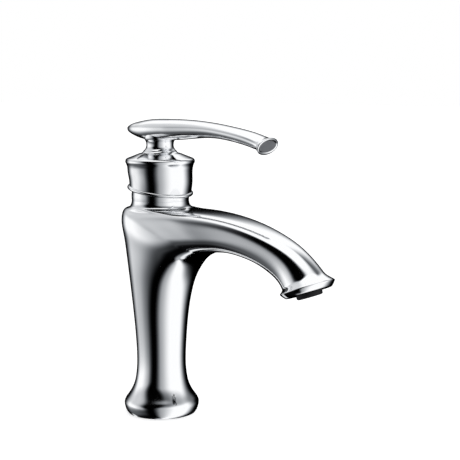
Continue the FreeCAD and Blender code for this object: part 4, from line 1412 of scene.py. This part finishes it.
@dataclass
class SoftLight:
    """White panels round the faucet, with dark gaps between them for the chrome to mirror.

    A step over the bearing is in degrees to the right of the camera, one over the rise goes from
    -1, straight down, to 1, straight up.
    """

    heading: float
    right_lean: Step = Step(0.3, 0.8, -33, -11)
    right_edge: Step = Step(1, 31, 0, 0.6)
    right_glow: Step = Step(18, 76, 0, 0.4)
    right_end: Step = Step(85, 142, 1, 0)
    right_fade: Step = Step(0.35, 0.8, 1, 0.6)
    left_lean: Step = Step(0.0, 0.5, -33, -50)
    left_edge: Step = Step(-33, -3, 0.55, 0)
    left_glow: Step = Step(-98, -48, 0.45, 0)
    left_end: Step = Step(-160, -116)
    left_fade: Step = Step(0.1, 0.45, 1, 0.8)
    left_dusk: Step = Step(-0.62, -0.08, 0.35, 1)
    left_foot: Step = Step(-0.87, -0.64, 0.2, 1)
    ceiling: Step = Step(0.78, 0.9)
    back_left: Step = Step(-150, -105, 1, 0)
    back_right: Step = Step(105, 150)
    back_foot: Step = Step(0.08, 0.55)
    strip_start: Step = Step(-178, -168)
    strip_end: Step = Step(-140, -125, 0.9, 0)
    strip_foot: Step = Step(-0.76, -0.7)
    strip_top: Step = Step(-0.63, -0.55, 1, 0)
    ground: Step = Step(-1.0, -0.965, 0.65, 0)
    contrast: float = 2.2
    strength: float = 1.12
    cool: Triple = (0.84, 0.91, 1.0)
    white: Triple = (1, 1, 1)

    def right_panel(self, sheet: Sheet, bearing: Wire, up: Wire) -> Wire:
        """The tall panel to the right of the camera, its near edge leaning as it rises.

        Args:
            sheet: the world's nodes.
            bearing: degrees to the right of the camera.
            up: the rise, from -1 to 1.

        Returns:
            How bright it is, from 0 to 1.
        """
        off = bearing - sheet.stepped(up, self.right_lean)
        panel = sheet.stepped(off, self.right_edge) + sheet.stepped(off, self.right_glow)
        return panel * sheet.stepped(bearing, self.right_end) * sheet.stepped(up, self.right_fade)

    def left_panel(self, sheet: Sheet, bearing: Wire, up: Wire) -> Wire:
        """The panel to the left of the camera, dimmer towards the ground.

        Args:
            sheet: the world's nodes.
            bearing: degrees to the right of the camera.
            up: the rise, from -1 to 1.

        Returns:
            How bright it is, from 0 to 1.
        """
        off = bearing - sheet.stepped(up, self.left_lean)
        panel = sheet.stepped(off, self.left_edge) + sheet.stepped(bearing, self.left_glow)
        panel = panel * sheet.stepped(bearing, self.left_end) * sheet.stepped(up, self.left_fade)
        return panel * sheet.stepped(up, self.left_dusk) * sheet.stepped(up, self.left_foot)

    def backdrop(self, sheet: Sheet, bearing: Wire, up: Wire) -> Wire:
        """The wall behind the faucet, white above its foot."""
        behind = sheet.stepped(bearing, self.back_left) + sheet.stepped(bearing, self.back_right)
        return behind * sheet.stepped(up, self.back_foot)

    def low_strip(self, sheet: Sheet, bearing: Wire, up: Wire) -> Wire:
        """A narrow strip low down behind, which draws a light line along undersides."""
        strip = sheet.stepped(bearing, self.strip_start) * sheet.stepped(bearing, self.strip_end)
        return strip * sheet.stepped(up, self.strip_foot) * sheet.stepped(up, self.strip_top)

    def hang(self) -> None:
        """Makes the world of these panels, plain white where the camera sees it."""
        world = bpy.data.worlds.new("studio")
        bpy.context.scene.world = world
        world.use_nodes = True
        sheet = Sheet(world.node_tree)
        place = sheet.node("ShaderNodeTexCoord", {}, {}, "Generated")
        angle = math.radians(self.heading)
        towards = sheet.along(place, (math.sin(angle), -math.cos(angle), 0))
        right = sheet.along(place, (math.cos(angle), math.sin(angle), 0))
        up = sheet.along(place, (0, 0, 1))
        bearing = right.bearing(towards) * (180 / math.pi)
        ceiling, ground = sheet.stepped(up, self.ceiling), sheet.stepped(up, self.ground)
        unlit = (1 - self.right_panel(sheet, bearing, up)) * (1 - ceiling)
        unlit = unlit * (1 - self.backdrop(sheet, bearing, up))
        unlit_low = 1 - self.left_panel(sheet, bearing, up)
        unlit_low = unlit_low * (1 - self.low_strip(sheet, bearing, up)) * (1 - ground)
        tone = 1 - unlit * unlit_low
        seen = sheet.node("ShaderNodeLightPath", {}, {}, "Is Camera Ray")
        values = {
            "Color": sheet.blend(tone * (1 - seen) + seen, self.cool, self.white),
            "Strength": tone**self.contrast * self.strength * (1 - seen) + seen,
        }
        sheet.deliver("ShaderNodeOutputWorld", sheet.node("ShaderNodeBackground", {}, values))


@dataclass
class Studio:
    """A pale floor, soft panels of light and the camera."""

    heading: float = 42.0
    distance: float = 0.815
    height: float = 0.228
    pan: float = 3.23
    dip: float = 7.39
    lens: float = 97.04
    sensor: float = 36.0
    floor_size: float = 12.0
    floor_gap: float = 0.0002
    floor_colour: Triple = (0.9, 0.9, 0.9)
    floor_roughness: float = 0.9
    floor_glow: float = 0.6

    def place_camera(self) -> None:
        """The camera at the photograph's angle."""
        bpy.ops.object.select_all(action="DESELECT")
        angle = math.radians(self.heading)
        place = (math.sin(angle) * self.distance, -math.cos(angle) * self.distance, self.height)
        turn = (math.radians(90 - self.dip), 0, math.radians(self.heading - self.pan))
        bpy.ops.object.camera_add(location=place, rotation=turn)
        camera = bpy.context.object
        camera.data.sensor_width = self.sensor
        camera.data.lens = self.lens
        bpy.context.scene.camera = camera

    def lay_floor(self) -> None:
        """The pale floor under the faucet, which the chrome doesn't mirror."""
        bpy.ops.object.select_all(action="DESELECT")
        place = (0, 0, -self.floor_gap)
        bpy.ops.mesh.primitive_plane_add(size=self.floor_size, location=place)
        floor = bpy.context.object
        floor.name = "pale_floor"
        material = bpy.data.materials.new("floor_white")
        material.use_nodes = True
        sheet = Sheet(material.node_tree)
        values = {
            "Base Color": (*self.floor_colour, 1),
            "Roughness": self.floor_roughness,
            "Emission Color": (1, 1, 1, 1),
            "Emission Strength": self.floor_glow,
        }
        shader = sheet.node("ShaderNodeBsdfPrincipled", {}, values)
        sheet.deliver("ShaderNodeOutputMaterial", shader)
        floor.data.materials.append(material)
        floor.visible_glossy = False

    def set_up(self) -> None:
        """Builds the whole studio."""
        self.lay_floor()
        SoftLight(self.heading).hang()
        self.place_camera()
        bpy.context.scene.view_settings.view_transform = "Standard"


def dress_nodes(frame: dict[str, Any]) -> None:
    """Gives every node of the part a finish by its slot.

    Args:
        frame: the loaded frame.
    """
    finishes = {finish.slot: finish for finish in FINISHES}
    for entry in frame["record"]["subparts"]:
        thing = frame["nodes"][entry["node"]]
        material = finishes[entry["material_slot"]].material()
        thing.data.materials.clear()
        thing.data.materials.append(material)
        log.info("%s takes %s", entry["node"], material.name)


def main() -> None:
    """Builds the faucet on its frame, and its studio."""
    logging.basicConfig(level=logging.INFO, format="%(name)s: %(message)s")
    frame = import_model()
    dress_nodes(frame)
    for assembly in (Casting(), Aerator(), BallCollar(), Hood(), Lever()):
        assembly.build()
    Studio().set_up()


if __name__ == "__main__":
    main()
